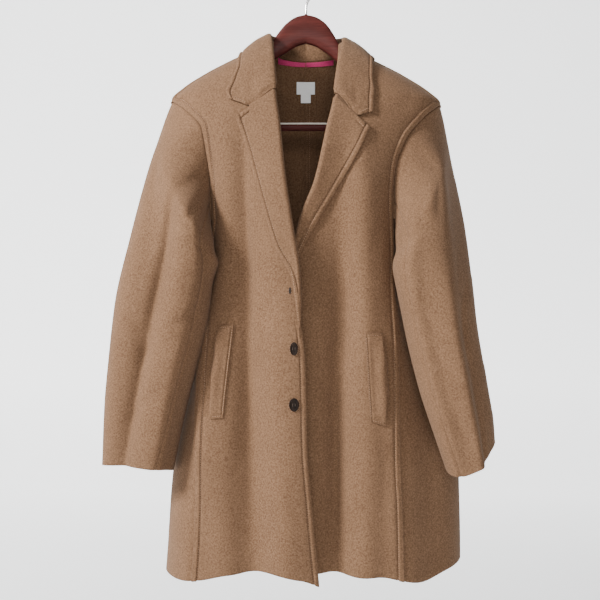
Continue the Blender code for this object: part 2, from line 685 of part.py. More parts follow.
def collar_row(side, along):
    """One section of the collar's middle line: foot, turn at the crest, fall."""
    crest = np.array([column(COLLAR[side], name, along, "along") for name in "xyz"])
    turn = column(COLLAR[side], "edge_turn", along, "along")
    height = column(COLLAR[side], "edge_height", along, "along")
    edge = body(side, turn, height) + body_out(side, turn, height) * COLLAR_REST
    foot = neck_seam(side, along)
    edge, foot = edge * (side, 1, 1), foot * (side, 1, 1)
    up = crest - (foot + edge) / 2
    up = up / np.linalg.norm(up)
    out = edge - foot
    out = out - up * out.dot(up)
    out = out / np.linalg.norm(out)
    centre = crest - up * CREST
    points = [foot, foot + (centre - out * CREST - foot) * 0.5]
    for degrees in np.linspace(0, 180, 6):
        angle = math.radians(degrees)
        points.append(centre - out * CREST * math.cos(angle) + up * CREST * math.sin(angle))
    last = points[-1]
    top = LAPEL[side][0]
    root_x = top.roll_x + ROLL + DOUBLE / 2
    sewn = np.array([root_x + (top.edge_x - root_x) * NOTCH, 0.0, 0.0])
    sewn[2] = top.roll_z + (top.edge_z - top.roll_z) * NOTCH + GORGE
    lie = body(side, turn_at(side, sewn[0], sewn[2]), sewn[2])
    sewn[1] = lie[1] - LAPEL_REST - 0.0012
    plain = last + (edge - last) * 0.55 + out * 0.003
    middle = plain + (sewn - plain) * ramp(along, 0.80, 1.0)
    points += [(last + middle) / 2 + out * 0.0015, middle, (middle + edge) / 2, edge]
    points = np.array(points)
    points[:, 0] *= side
    return points


def collar(made):
    stations = np.linspace(0, 1, 14)
    grid = [collar_row(LEFT, a) for a in stations[:0:-1]]
    grid += [(collar_row(LEFT, 0.0) + collar_row(RIGHT, 0.0)) / 2]
    grid += [collar_row(RIGHT, a) for a in stations[1:]]
    sheet("collar", made, np.array(grid), DOUBLE)


def welt(side, made):
    """A doubled strip of cloth on the front, made from the front's points moved out."""
    a, b, c, d = (np.array(corner) for corner in WELT[side])
    down = np.linspace(0, 1, 10)[:, None, None]
    over = np.linspace(0, 1, 4)[None, :, None]
    spot = (a + (b - a) * over) * (1 - down) + (d + (c - d) * over) * down
    turn = turn_at(side, spot[..., 0], spot[..., 1])
    middle = body(side, turn, spot[..., 1])
    out = body_out(side, turn, spot[..., 1])
    low = CLOTH / 2 + SEAM
    wall("welt_" + WORD[side], made, middle + out * (low + WELT_THICK), middle + out * low)


def button(name, made, side, height):
    """A turned button with a raised rim, lying on a front."""
    x = BUTTON_X * side
    turn = turn_at(side, x, height)
    out = body_out(side, turn, height)
    base = body(side, turn, height) + out * (CLOTH / 2 + 0.0007)
    across = np.cross(out, (0, 0, 1.0))
    across = across / np.linalg.norm(across)
    up = np.cross(across, out)
    r, t = BUTTON_RADIUS, BUTTON_THICK
    profile = ((0.80 * r, 0.0), (r, 0.35 * t), (r, 0.75 * t), (0.90 * r, t), (0.70 * r, 0.70 * t))
    around = np.linspace(0, 2 * math.pi, 25)[:-1]
    points, faces = [], []
    for radius, lift in profile:
        for a in around:
            points.append(base + (across * math.cos(a) + up * math.sin(a)) * radius + out * lift)
    n = len(around)
    for k in range(len(profile) - 1):
        for i in range(n):
            j = (i + 1) % n
            faces.append((k * n + i, k * n + j, (k + 1) * n + j, (k + 1) * n + i))
    faces.append(tuple(range(n)))
    faces.append(tuple(range((len(profile) - 1) * n, len(profile) * n)))
    solid(name, made, points, faces)


def inside_back(half_width, heights, count, gap):
    """Points inside the back's cloth: turns under 2 lie on the left back, the rest on the right one."""
    rows_made = []
    for height in heights:
        row = []
        reach = float(turn_at(LEFT, half_width, height))
        for turn in np.linspace(2 - reach, 2 + reach, count):
            side, own = (LEFT, turn) if turn <= 2 else (RIGHT, 4 - turn)
            row.append(body(side, own, height) - body_out(side, own, height) * (CLOTH / 2 + gap))
        rows_made.append(row)
    return np.array(rows_made)


def back_trim(name, made, half_width, top, deep, thick, count):
    """A flat strip on the inside of the backs, over the centre seam."""
    heights = np.linspace(top - deep, top, 4)
    wall(
        name,
        made,
        inside_back(half_width, heights, count, TRIM_GAP + thick),
        inside_back(half_width, heights, count, TRIM_GAP),
    )


def shoulder_top(side, x):
    """Height of the shoulder's ridge over a distance from the middle."""
    heights = np.linspace(NECK, TIP, 200)
    ridge = body(side, 1.0, heights)
    return np.interp(x, side * ridge[:, 0], ridge[:, 2])


def hanger_body(made):
    """Shaped wooden arms: sections from the left tip to the right one."""
    sections = []
    for side in (LEFT, RIGHT):
        part = [(0.0, HUMP[0].top, HUMP[0].bottom)] if side == LEFT else []
        for row in HUMP[1:]:
            low = SHOULDER_DROP[side] * float(ramp(row.x, 0.03, 0.06))
            part.append((row.x, row.top - low, row.bottom - low))
        for x in np.linspace(0.066, HANGER_REACH, 9):
            share = (x - 0.066) / (HANGER_REACH - 0.066)
            top = float(shoulder_top(side, x)) - CLOTH / 2 / math.cos(0.5) - HANGER_SLACK
            depth = ARM_DEPTH[0] + (ARM_DEPTH[1] - ARM_DEPTH[0]) * share
            to_bar = top - (BAR_HEIGHT + BAR_RADIUS + SEAM)
            depth += (to_bar - depth) * float(ramp(x, HANGER_REACH - ARM_END[0], HANGER_REACH - ARM_END[1]))
            part.append((x, top, top - depth))
        x, top, bottom = part[-1]
        part.append((x + 0.004, top - 0.007, bottom + 0.006))
        part = [(side * x, top, bottom) for x, top, bottom in part]
        sections += part[::-1] if side == LEFT else part
    around = np.linspace(0, 2 * math.pi, 13)[:-1] + math.pi / 2
    points, faces = [], []
    for x, top, bottom in sections:
        middle, half = (top + bottom) / 2, (top - bottom) / 2
        for a in around:
            c, s = math.cos(a), math.sin(a)
            y = HANGER_HALF * math.copysign(abs(c) ** 0.7, c)
            points.append((x, y, middle + half * math.copysign(abs(s) ** 0.8, s)))
    n = len(around)
    for k in range(len(sections) - 1):
        for i in range(n):
            j = (i + 1) % n
            faces.append((k * n + i, k * n + j, (k + 1) * n + j, (k + 1) * n + i))
    faces.append(tuple(range(n)))
    faces.append(tuple(range((len(sections) - 1) * n, len(sections) * n)))
    solid("hanger_body", made, points, faces)


def tube(name, made, line, radius, sides):
    """A round bar or wire along a line of points."""
    curve = bpy.data.curves.new(name, "CURVE")
    curve.dimensions = "3D"
    curve.bevel_depth = radius
    curve.bevel_resolution = sides
    curve.use_fill_caps = True
    spline = curve.splines.new("POLY")
    spline.points.add(len(line) - 1)
    for point, spot in zip(spline.points, line):
        point.co = (*spot, 1.0)
    curve.materials.append(made)
    obj = bpy.data.objects.new(name, curve)
    bpy.context.scene.collection.objects.link(obj)
    return obj


def hanger_hook(made):
    """The wire rises from the wood, swings right and comes over the seat at the origin."""
    centre = HOOK_WIRE - HOOK_RADIUS
    line = [(0.0, 0.0, HANGER_TOP + 0.0004)]
    line += [(0.0, 0.0, HANGER_TOP + 0.008), (0.0004, 0.0, HANGER_TOP + 0.014)]
    line += [(0.002, 0.0, HANGER_TOP + 0.020), (0.006, 0.0, HANGER_TOP + 0.0265)]
    for degrees in np.linspace(-42, 200, 22):
        a = math.radians(degrees)
        line.append((HOOK_RADIUS * math.cos(a), 0.0, centre + HOOK_RADIUS * math.sin(a)))
    tube("hanger_hook", made, line, HOOK_WIRE, 2)


def build():
    for obj in list(bpy.data.objects):
        bpy.data.objects.remove(obj, do_unlink=True)
    wool = material("wool", (0.38, 0.235, 0.150), 0.95)
    horn = material("button", (0.030, 0.022, 0.018), 0.35)
    pink = material("tape", (0.45, 0.035, 0.14), 0.80)
    woven = material("label", (0.80, 0.78, 0.74), 0.75)
    wood = material("wood", (0.075, 0.020, 0.017), 0.28)
    metal = material("hook", (0.72, 0.70, 0.66), 0.22, 1.0)
    for side in (LEFT, RIGHT):
        front(side, wool)
        back(side, wool)
        sleeve(side, wool)
        lapel(side, wool)
        welt(side, wool)
    collar(wool)
    button("button_1", horn, RIGHT, BUTTON_HEIGHTS[0])
    button("button_2", horn, LEFT, BUTTON_HEIGHTS[1])
    button("button_3", horn, LEFT, BUTTON_HEIGHTS[2])
    back_trim("neck_tape", pink, 0.046, NECK - 0.0010, TAPE_WIDTH, TAPE_THICK, 17)
    back_trim("label", woven, LABEL_SIZE[0] / 2, LABEL_TOP, LABEL_SIZE[1], LABEL_THICK, 5)
    tab_top = LABEL_TOP - LABEL_SIZE[1] - SEAM
    back_trim("size_tab", woven, TAB_SIZE[0] / 2, tab_top, TAB_SIZE[1], LABEL_THICK, 5)
    hanger_body(wood)
    end = HANGER_REACH - 0.013
    tube("hanger_bar", wood, ((-end, 0.0, BAR_HEIGHT), (end, 0.0, BAR_HEIGHT)), BAR_RADIUS, 4)
    hanger_hook(metal)


build()
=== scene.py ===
"""Looks of the wool topcoat on its wooden hanger.

The cloth is laid on the same body form as the solids, as thin shells. Creases, lapped seams, topstitching
and rounded edges are added here. Metres, +Z up, the coat faces -Y, left and right are the viewer's.
"""

import math
from collections import namedtuple

import bmesh
import bpy
import mathutils
import numpy as np
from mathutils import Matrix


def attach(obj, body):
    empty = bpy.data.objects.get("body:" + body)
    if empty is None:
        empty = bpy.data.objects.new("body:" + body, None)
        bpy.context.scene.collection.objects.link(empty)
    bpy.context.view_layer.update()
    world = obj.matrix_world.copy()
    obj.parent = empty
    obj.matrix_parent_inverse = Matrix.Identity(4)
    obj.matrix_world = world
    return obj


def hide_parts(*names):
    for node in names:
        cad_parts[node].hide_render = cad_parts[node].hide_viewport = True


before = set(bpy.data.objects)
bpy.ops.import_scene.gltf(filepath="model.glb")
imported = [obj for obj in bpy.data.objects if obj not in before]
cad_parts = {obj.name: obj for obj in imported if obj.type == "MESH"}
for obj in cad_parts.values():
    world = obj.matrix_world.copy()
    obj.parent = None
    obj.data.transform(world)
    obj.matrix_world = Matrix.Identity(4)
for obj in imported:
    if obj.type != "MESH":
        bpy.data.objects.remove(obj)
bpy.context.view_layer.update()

LEFT, RIGHT = -1, 1
WORD = {LEFT: "left", RIGHT: "right"}

# Cloth
CLOTH = 0.0022  # one wall of melton wool
DOUBLE = 0.0034  # collar and lapels, cloth and facing together
HALF_DOUBLE = 0.0015  # half of it, less the rounding of its faces
SEAM = 0.0003  # space between two sewn edges
BAND = 0.007  # raised band along a lapped seam

# Heights on the body form
NECK = -0.127  # neck end of the shoulder seam
TIP = -0.2165  # shoulder point
UNDERARM = -0.41
HEM = -0.962

# Body form
SQUARE = 0.30  # how boxy a section is, 0 for an ellipse
SQUARE_BACK = 0.62  # the same for its back half below the shoulders
SHOULDER_TURN = 0.90  # the shoulder seam lies forward of the ridge
BACK_ARM_TURN = 1.22  # lower end of the back armhole
SHOULDER_DROP = {LEFT: 0.0, RIGHT: 0.006}
NECK_DIP = 0.0115  # the back neck is lower than the neck end of the shoulder
UNDERARM_DIP = 0.014
HEM_LIFT = 0.25  # share of a hollow's depth by which the hem rises in it
HEM_START = -0.80  # the hem's rise fades out up to this height

# Front hem: how far it is lifted, over the distance from the middle
Rise = namedtuple("Rise", "x rise")
HEM_RISE = {
    LEFT: [
        Rise(-0.020, 0.000), Rise(0.009, 0.0125), Rise(0.047, 0.0185), Rise(0.083, 0.0150),
        Rise(0.120, 0.0140), Rise(0.160, 0.0045), Rise(0.200, 0.000),
    ],
    RIGHT: [
        Rise(-0.020, 0.0150), Rise(0.028, 0.0145), Rise(0.066, 0.0120), Rise(0.103, 0.0150),
        Rise(0.141, 0.0090), Rise(0.178, 0.0010), Rise(0.216, 0.0120), Rise(0.246, 0.0200),
    ],
}
# Half widths and depths of the body form, by height
Level = namedtuple("Level", "height left right front back")
BODY = [
    Level(NECK, 0.062, 0.062, 0.030, 0.050),
    Level(-0.147, 0.106, 0.106, 0.045, 0.055),
    Level(-0.162, 0.1365, 0.1365, 0.053, 0.060),
    Level(-0.173, 0.157, 0.157, 0.058, 0.063),
    Level(-0.198, 0.1958, 0.1958, 0.066, 0.067),
    Level(TIP, 0.2137, 0.2137, 0.072, 0.070),
    Level(-0.260, 0.198, 0.198, 0.082, 0.078),
    Level(-0.320, 0.172, 0.172, 0.092, 0.087),
    Level(UNDERARM, 0.152, 0.151, 0.100, 0.096),
    Level(-0.470, 0.146, 0.147, 0.103, 0.099),
    Level(-0.570, 0.160, 0.172, 0.104, 0.098),
    Level(-0.660, 0.182, 0.206, 0.104, 0.100),
    Level(-0.800, 0.211, 0.244, 0.105, 0.105),
    Level(HEM, 0.2235, 0.246, 0.108, 0.112),
]

# Folds of the body, by distance from the middle: a plus depth stands out, a minus one sinks
Fold = namedtuple("Fold", "at_chest at_hem width chest waist hem")
FRONT_FOLDS = {
    LEFT: [
        Fold(0.122, 0.130, 0.024, 0.007, 0.005, 0.003),
        Fold(0.092, 0.080, 0.026, -0.009, -0.016, -0.015),
        Fold(0.045, 0.026, 0.032, 0.002, 0.005, 0.008),
        Fold(0.180, 0.190, 0.026, 0.000, 0.004, 0.010),
    ],
    RIGHT: [
        Fold(0.060, 0.047, 0.025, -0.005, -0.014, -0.014),
        Fold(0.088, 0.095, 0.022, 0.008, 0.009, 0.007),
        Fold(0.125, 0.150, 0.026, 0.000, 0.003, 0.008),
        Fold(0.170, 0.195, 0.024, 0.000, -0.010, -0.006),
    ],
}
BACK_FOLDS = {
    LEFT: [
        Fold(0.058, 0.070, 0.030, -0.006, -0.012, -0.016),
        Fold(0.112, 0.135, 0.030, 0.006, 0.010, 0.012),
    ],
    RIGHT: [
        Fold(0.050, 0.066, 0.028, -0.004, -0.010, -0.014),
        Fold(0.105, 0.130, 0.030, 0.007, 0.010, 0.013),
    ],
}
FOLD_HEIGHTS = (HEM, -0.60, -0.36, -0.23)  # hem, waist, chest and where folds end

# The right front lies this far behind the left one where they lap
Lap = namedtuple("Lap", "height depth")
LAP = [
    Lap(-0.30, 0.000), Lap(-0.40, 0.014), Lap(-0.50, 0.013), Lap(-0.60, 0.009), Lap(HEM, 0.009),
]
LAP_FULL, LAP_END = 0.024, 0.075  # distances from the middle where it lies full behind and where it ends

# Front edges under the lapels' break, and the seams, as distances from the middle
Line = namedtuple("Line", "height x")
LAP_EDGE = {
    LEFT: [
        Line(-0.632, 0.0021), Line(-0.759, -0.0008), Line(-0.837, -0.0069),
        Line(-0.895, -0.0117), Line(HEM, -0.0187),
    ],
    RIGHT: [Line(-0.70, -0.0330), Line(HEM, -0.0220)],
}
SIDE_SEAM = {
    LEFT: [
        Line(UNDERARM, 0.1430), Line(-0.47, 0.1445), Line(-0.56, 0.1470), Line(-0.715, 0.1570),
        Line(HEM, 0.1730),
    ],
    RIGHT: [
        Line(UNDERARM, 0.1290), Line(-0.50, 0.1275), Line(-0.61, 0.1350), Line(-0.76, 0.1385),
        Line(HEM, 0.1455),
    ],
}
ARMHOLE_FRONT = {
    LEFT: [
        Line(TIP, 0.2111), Line(-0.240, 0.182), Line(-0.267, 0.160), Line(-0.335, 0.150),
        Line(UNDERARM, 0.1430),
    ],
    RIGHT: [
        Line(TIP, 0.2111), Line(-0.245, 0.180), Line(-0.286, 0.150), Line(-0.330, 0.1355),
        Line(UNDERARM, 0.1290),
    ],
}
ARMHOLE_BACK = [
    Line(-0.224, 0.2020), Line(-0.240, 0.1900), Line(-0.270, 0.1760), Line(-0.320, 0.1580),
    Line(-0.365, 0.1480),
]

# Lapels, from the gorge down to the break: roll line and free edge
Lapel = namedtuple("Lapel", "roll_x roll_z edge_x edge_z")
LAPEL = {
    LEFT: [
        Lapel(0.0468, -0.2130, 0.1078, -0.2524),
        Lapel(0.0405, -0.2620, 0.0904, -0.3042),
        Lapel(0.0318, -0.3450, 0.0666, -0.3886),
        Lapel(0.0195, -0.4250, 0.0446, -0.4582),
        Lapel(0.0085, -0.4920, 0.0225, -0.5006),
        Lapel(0.0062, -0.5450, 0.0150, -0.5460),
        Lapel(0.0060, -0.5900, 0.0105, -0.5900),
    ],
    RIGHT: [
        Lapel(0.0414, -0.2249, 0.0963, -0.2708),
        Lapel(0.0317, -0.2671, 0.0781, -0.3088),
        Lapel(0.0123, -0.3522, 0.0465, -0.3640),
        Lapel(-0.0076, -0.4022, 0.0160, -0.4155),
        Lapel(-0.0242, -0.4582, -0.0085, -0.4605),
        Lapel(-0.0333, -0.5036, -0.0245, -0.5036),
        Lapel(-0.0363, -0.5300, -0.0310, -0.5300),
    ],
}
ROLL = 0.0042  # radius of the lapel's turn, on its middle surface
ROLL_BREAK = 0.0024  # the same at the break
LAPEL_REST = 0.0041  # lapel to front at the free edge, middle to middle
# Lapel's top under the collar: reach and sink
GORGE_TUCK = ((0.0075, 0.0032), (0.0050, 0.0030), (0.0024, 0.0016))
GORGE = 0.0016  # collar above lapel at the gorge, middle to middle of their edges
NOTCH = 0.62  # share of the lapel's top that is sewn to the collar
NECK_IN = 0.0560  # front's inner end at the neck

# Collar, from centre back to the gorge: its crest, and its free edge on the body form
Collar = namedtuple("Collar", "along x y z edge_turn edge_height")
COLLAR = {
    LEFT: [
        Collar(0.00, 0.0000, 0.0570, -0.1040, 2.000, -0.1570),
        Collar(0.28, 0.0390, 0.0410, -0.1030, 1.655, -0.1590),
        Collar(0.50, 0.0575, 0.0080, -0.1055, 1.100, -0.1448),
        Collar(0.62, 0.0570, -0.0200, -0.1135, 0.745, -0.1500),
        Collar(0.80, 0.0515, -0.0560, -0.1530, 0.433, -0.1820),
        Collar(1.00, 0.0452, -0.0765, -0.2095, 0.372, -0.2262),
    ],
    RIGHT: [
        Collar(0.00, 0.0000, 0.0570, -0.1040, 2.000, -0.1570),
        Collar(0.28, 0.0400, 0.0410, -0.1050, 1.667, -0.1610),
        Collar(0.50, 0.0600, 0.0080, -0.1105, 1.100, -0.1471),
        Collar(0.62, 0.0600, -0.0200, -0.1200, 0.730, -0.1500),
        Collar(0.71, 0.0570, -0.0400, -0.1390, 0.455, -0.1720),
        Collar(0.80, 0.0510, -0.0570, -0.1610, 0.345, -0.1990),
        Collar(0.90, 0.0460, -0.0690, -0.1900, 0.318, -0.2230),
        Collar(1.00, 0.0418, -0.0785, -0.2180, 0.328, -0.2460),
    ],
}
COLLAR_REST = 0.0050  # collar's free edge to the body, middle to middle
FOOT_GAP = 0.0012  # room for the thicker stand above the neck seam
CORNER = 0.58  # where the collar's foot passes from the shoulder to the front's inner edge
CREST = 0.0045  # radius of the collar's turn, on its middle surface

# Sleeves: rings down from the armhole. The outer side is higher by the rise and further back by the
# swing, and the back is higher by the back rise
Ring = namedtuple("Ring", "height inner outer front back rise swing back_rise")
SLEEVE = {
    LEFT: [
        Ring(-0.376, 0.152, 0.245, -0.105, 0.042, 0.080, 0.045, 0.0),
        Ring(-0.460, 0.144, 0.272, -0.115, 0.002, 0.030, 0.015, 0.0),
        Ring(-0.550, 0.151, 0.2945, -0.116, -0.010, 0.008, 0.0, 0.0),
        Ring(-0.650, 0.173, 0.3062, -0.110, -0.014, 0.0, 0.0, 0.0),
        Ring(-0.720, 0.190, 0.3125, -0.100, -0.012, 0.0, 0.0, -0.002),
        Ring(-0.793, 0.207, 0.3155, -0.095, -0.015, 0.004, 0.0, -0.006),
    ],
    RIGHT: [
        Ring(-0.376, 0.144, 0.2335, -0.105, 0.040, 0.078, 0.050, 0.0),
        Ring(-0.460, 0.133, 0.2480, -0.135, -0.010, 0.030, 0.025, 0.0),
        Ring(-0.560, 0.147, 0.2535, -0.150, -0.046, 0.010, 0.0, 0.0),
        Ring(-0.660, 0.169, 0.2685, -0.155, -0.062, 0.006, 0.0, 0.006),
        Ring(-0.720, 0.190, 0.2775, -0.153, -0.066, 0.012, 0.0, 0.012),
        Ring(-0.766, 0.209, 0.2810, -0.149, -0.070, 0.019, 0.0, 0.018),
    ],
}
ARM_POINTS = 60  # points along each side of the armhole
SLEEVE_FRONT_SEAM = (152.0, 122.0)  # degrees round from the outer side, at the top and the cuff
SLEEVE_BACK_SEAM = (302.0, 292.0)
SLEEVE_LAP = 4.5  # degrees the under piece runs on behind the top one
DEGREE_LONG, RING_LONG = 0.00095, 0.085  # metres round for a degree, and down for a ring
SLEEVE_STEP = 0.0022  # room for the sleeve's wall where it turns out of the armhole
UNDERARM_CLEAR = 0.0050  # the sleeve hangs this far outside the body's cloth under the arm
SleeveFold = namedtuple("SleeveFold", "at_top at_cuff width depth")
SLEEVE_FOLDS = {
    LEFT: [
        SleeveFold(75.0, 60.0, 22.0, -0.010),
        SleeveFold(108.0, 122.0, 18.0, 0.006),
        SleeveFold(230.0, 240.0, 24.0, -0.006),
    ],
    RIGHT: [
        SleeveFold(70.0, 70.0, 13.0, 0.006),
        SleeveFold(35.0, 35.0, 24.0, -0.007),
        SleeveFold(115.0, 105.0, 20.0, -0.004),
        SleeveFold(235.0, 235.0, 24.0, -0.006),
    ],
}

# Pocket welts, on the fronts: corners as distance from the middle and height
WELT = {
    LEFT: ((0.1165, -0.5717), (0.1310, -0.5747), (0.1412, -0.7132), (0.1271, -0.7109)),
    RIGHT: ((0.0870, -0.5836), (0.1095, -0.5851), (0.1150, -0.7208), (0.0955, -0.7148)),
}
WELT_THICK = 0.0026
WELT_SIZE = (0.023, 0.138)  # about its width and length, for the sewn line

# Buttons
BUTTON_RADIUS = 0.0100
BUTTON_THICK = 0.0030
BUTTON_X = -0.0182
BUTTON_LIFT = 0.0007
# Front it lies on, height and share of its width that shows. The first is under the lap, not done up
BUTTONS = ((RIGHT, -0.522, 1.0), (LEFT, -0.6065, 0.58), (LEFT, -0.6897, 0.74))
# Radii and lifts as shares of its own, from the back round to the dish
BUTTON_PROFILE = (
    (0.55, 0.0), (0.80, 0.03), (0.95, 0.20), (1.0, 0.45), (0.985, 0.72), (0.94, 0.92),
    (0.88, 1.0), (0.82, 0.95), (0.76, 0.80), (0.66, 0.70), (0.40, 0.66), (0.02, 0.66),
)
FIRST_HOLE = (-0.520, 0.0240, 0.0016, 0.0052)  # height, distance from the middle, half width, half length
HOLE_LIFT = 0.0003

# Trim inside the back neck
TAPE_SIZE = (0.092, 0.0065)
TAPE_THICK = 0.0010
LABEL_SIZE = (0.030, 0.024)
TAB_SIZE = (0.016, 0.016)
LABEL_TOP = -0.1614
LABEL_THICK = 0.0008
LABEL_OVER = 0.0014  # over the centre seam's allowance
TRIM_GAP = 0.0005  # between the trim and the back's cloth

# Hanger
HANGER_TOP = -0.075
HANGER_REACH = 0.196
HANGER_HALF = 0.0085  # half its thickness
HANGER_SLACK = 0.0014  # air between cloth and wood on the shoulder
Arm = namedtuple("Arm", "x top bottom")  # from the middle out to where the arm meets the shoulder
HUMP = [
    Arm(0.000, HANGER_TOP, -0.121), Arm(0.015, -0.0785, -0.1255), Arm(0.030, -0.0880, -0.1345),
    Arm(0.046, -0.1065, -0.1440), Arm(0.053, -0.1180, -0.1490), Arm(0.059, -0.1310, -0.1560),
]
ARM_DEPTH = (0.036, 0.026)  # top to bottom, where the shoulder starts and at the tip
BAR_HEIGHT = -0.256
BAR_RADIUS = 0.0060
ARM_END = (0.034, 0.018)  # where the arm starts to deepen and where it reaches the bar, from its tip
HOOK_WIRE = 0.0020
HOOK_RADIUS = 0.0220
HOOK_STEM = ((0.0, 0.0004), (0.0, 0.008), (0.0004, 0.014), (0.002, 0.020), (0.006, 0.0265))  # side, rise
HIGHLIGHT_RADIUS = 0.0018  # painted highlight: a pale strip along the top of the bar, where light shines on it

# Looks: steps of a grain's tint, and lamps by name, place, aim, size and power
WOOL_STOPS = ((0.28, (0.098, 0.052, 0.027)), (0.50, (0.149, 0.081, 0.043)), (0.74, (0.203, 0.116, 0.066)))
LIGHTS = (
    ("key", (-2.45, -1.42, 1.1), (0.0, 0.0, -0.5), 0.7, 285.0),
    ("front", (0.1, -2.8, 0.2), (0.0, 0.0, -0.3), 0.9, 30.0),
    ("top", (-0.6, -0.4, 1.7), (0.0, 0.2, -0.5), 0.7, 8.0),
)
SKY = 0.42
WALL = 2.6  # from the hanger back to the wall, which has a glow of its own
GLOW = 1.15
FLOOR, SWEEP = -1.30, 0.42  # height of the floor, and radius of its turn into the wall
WHITE = (1.0, 1.0, 1.0)
WOOD_STOPS = (
    (0.30, (0.048, 0.0100, 0.0078)),
    (0.55, (0.072, 0.0152, 0.0118)),
    (0.80, (0.096, 0.0215, 0.0165)),
)
# Darker and lighter tint, roughness, grain, then shine, relief, detail and metal where they aren't usual
PLAIN = (
    ("thread", (0.27, 0.165, 0.105), (0.40, 0.255, 0.165), 0.8, 900.0, 0.25, 0.0, 1.0),
    ("shade", (0.012, 0.009, 0.007), (0.020, 0.014, 0.011), 0.9, 300.0),
    ("ribbon", (0.42, 0.016, 0.095), (0.56, 0.030, 0.150), 0.6, 900.0, 0.3, 0.0003),
    ("woven_label", (0.84, 0.83, 0.81), (0.92, 0.91, 0.89), 0.7, 1100.0, 0.3, 0.0002),
    ("button_thread", (0.045, 0.030, 0.022), (0.075, 0.050, 0.036), 0.8, 700.0),
    # painted highlight along the top of the hanger's bar
    ("painted_highlight", (0.66, 0.60, 0.50), (0.76, 0.70, 0.60), 0.6, 500.0),
    ("steel", (0.60, 0.585, 0.56), (0.74, 0.725, 0.70), 0.2, 240.0, 0.5, 0.0, 2.0, 1.0),
)

# Creases that the solids don't carry, in millimetres: distance from the middle and height of both ends,
# bend sideways, width and depth
MM = 0.001
FRONT_CREASES = {
    LEFT: [
        (148, -300, 112, -470, 10, 11, -2.2), (138, -360, 125, -520, -6, 8, 1.4),
        (20, -600, 88, -545, 6, 8.5, -1.3), (18, -690, 75, -735, -6, 9, -1.4),
        (52, -520, 66, -760, 8, 14, -2), (108, -740, 102, -955, 6, 12, -1.8),
        (36, -800, 30, -960, -4, 13, 1.8), (150, -780, 142, -960, 4, 12, -1.6),
        (70, -905, 92, -958, 3, 6, 1.2), (170, -200, 120, -235, 6, 11, -1.2),
        (130, -250, 100, -330, -6, 13, -1.4), (102, -270, 86, -960, 4, 19, -10.5),
        (10, -400, 4, -1000, 0, 26, 6.5), (158, -920, 150, -360, 0, 18, 9),
        (134, -574, 144.4, -714, 0, 3, -4.2),
    ],
    RIGHT: [
        (140, -300, 104, -450, 10, 11, -2.4), (126, -380, 110, -540, -6, 8, 1.4),
        (64, -862, 94, -900, 4, 4.2, 1.9), (58, -872, 86, -912, 4, 6, -1.4),
        (16, -640, 58, -700, -6, 9, -1.4), (78, -480, 74, -720, 6, 11, 1.4),
        (110, -730, 118, -950, 6, 13, -2), (28, -760, 20, -950, 4, 12, -1.6),
        (132, -800, 136, -958, -4, 11, 1.4), (172, -206, 118, -245, 6, 11, -1.2),
        (118, -260, 92, -360, -6, 13, -1.4), (50, -960, 60, -310, 3, 14, -8.5),
        (130, -960, 120, -300, 2, 17, 8), (112.5, -584, 117.8, -722, 0, 3.2, -3),
    ],
}
BACK_CREASES = {
    LEFT: [
        (150, -300, 105, -470, -10, 12, -2.4), (120, -230, 60, -300, 8, 14, -1.6),
        (40, -480, 34, -760, 6, 14, 2), (95, -560, 100, -900, -6, 15, -2.2),
        (165, -620, 176, -940, 6, 14, -2), (30, -830, 26, -958, 3, 11, -1.4),
    ],
    RIGHT: [
        (148, -310, 100, -480, -10, 12, -2.4), (118, -235, 55, -290, 6, 14, -1.4),
        (32, -500, 40, -800, -6, 15, 2), (88, -520, 96, -880, 8, 14, -2.2),
        (170, -640, 190, -940, -6, 15, -2.2), (60, -820, 52, -958, 4, 11, 1.4),
    ],
}
# The same on the sleeves, as distances round from the outer side and down from the armhole
SLEEVE_CREASES = {
    LEFT: [
        (118, -60, 62, -150, 10, 9, -3.4), (140, -105, 92, -190, -6, 7.5, -2.4),
        (30, -45, 52, -210, 8, 11, -2.6), (136, -240, 80, -285, 6, 8, -2.8),
        (128, -285, 66, -318, -5, 7, -2.2), (40, -250, 74, -330, 6, 9, -2.2),
        (104, -350, 58, -430, 6, 9, -2), (88, -400, 96, -506, 3, 7.5, 1.8),
        (240, -120, 290, -220, 8, 11, -2.6), (236, -270, 300, -310, -6, 9, -2.6),
        (250, -380, 300, -440, 6, 10, -2), (92, -10, 66, -620, -4, 13, -11.5),
        (124, -40, 106, -600, 3, 11, 5.5), (172, -20, 172, -190, 0, 22, 9.5),
    ],
    RIGHT: [
        (112, -70, 70, -170, 8, 8.5, -3), (52, -30, 78, -150, 6, 8, -3.4),
        (126, -230, 82, -275, 6, 7.5, -2.4), (118, -290, 76, -330, -4, 7, -2),
        (30, -220, 56, -310, 6, 8.5, -2), (94, -360, 78, -480, 4, 8, -1.8),
        (240, -130, 285, -230, 8, 11, -2.6), (236, -270, 296, -320, -6, 9, -2.4),
        (256, -390, 300, -450, 6, 10, -2), (58, -600, 70, -60, 4, 12.5, -10),
        (122, -100, 114, -480, 3, 11, 3), (172, -20, 172, -190, 0, 22, 5),
    ],
}
WELT_GAPE = {LEFT: 0.0034, RIGHT: 0.0066}  # how far a pocket's outer edge stands open

# Camera, at the photo's viewing angle
EYE = (-0.0097, -1.5, -0.53385)
LENS = 55.902

# Sewing and edges
EDGE = (0.0, 0.0010, 0.0024, 0.0042, 0.0058, 0.0066, 0.0072, 0.0078, 0.0086, 0.0100, 0.0130)
STITCH_AT = 0.0072  # topstitching, from an edge
STITCH_COLUMN = EDGE.index(STITCH_AT)
THIN = 0.0003  # the shown cloth's inner face, inside the form
TUCK = 0.0040  # how far a lower layer runs on under a lapped seam
SINK = 0.0026  # and how far it sinks there
LIP = 0.0018  # rise of a lapped seam's upper layer
STITCH_STEP, STITCH_LONG, STITCH_WIDE = 0.0036, 0.0025, 0.00030
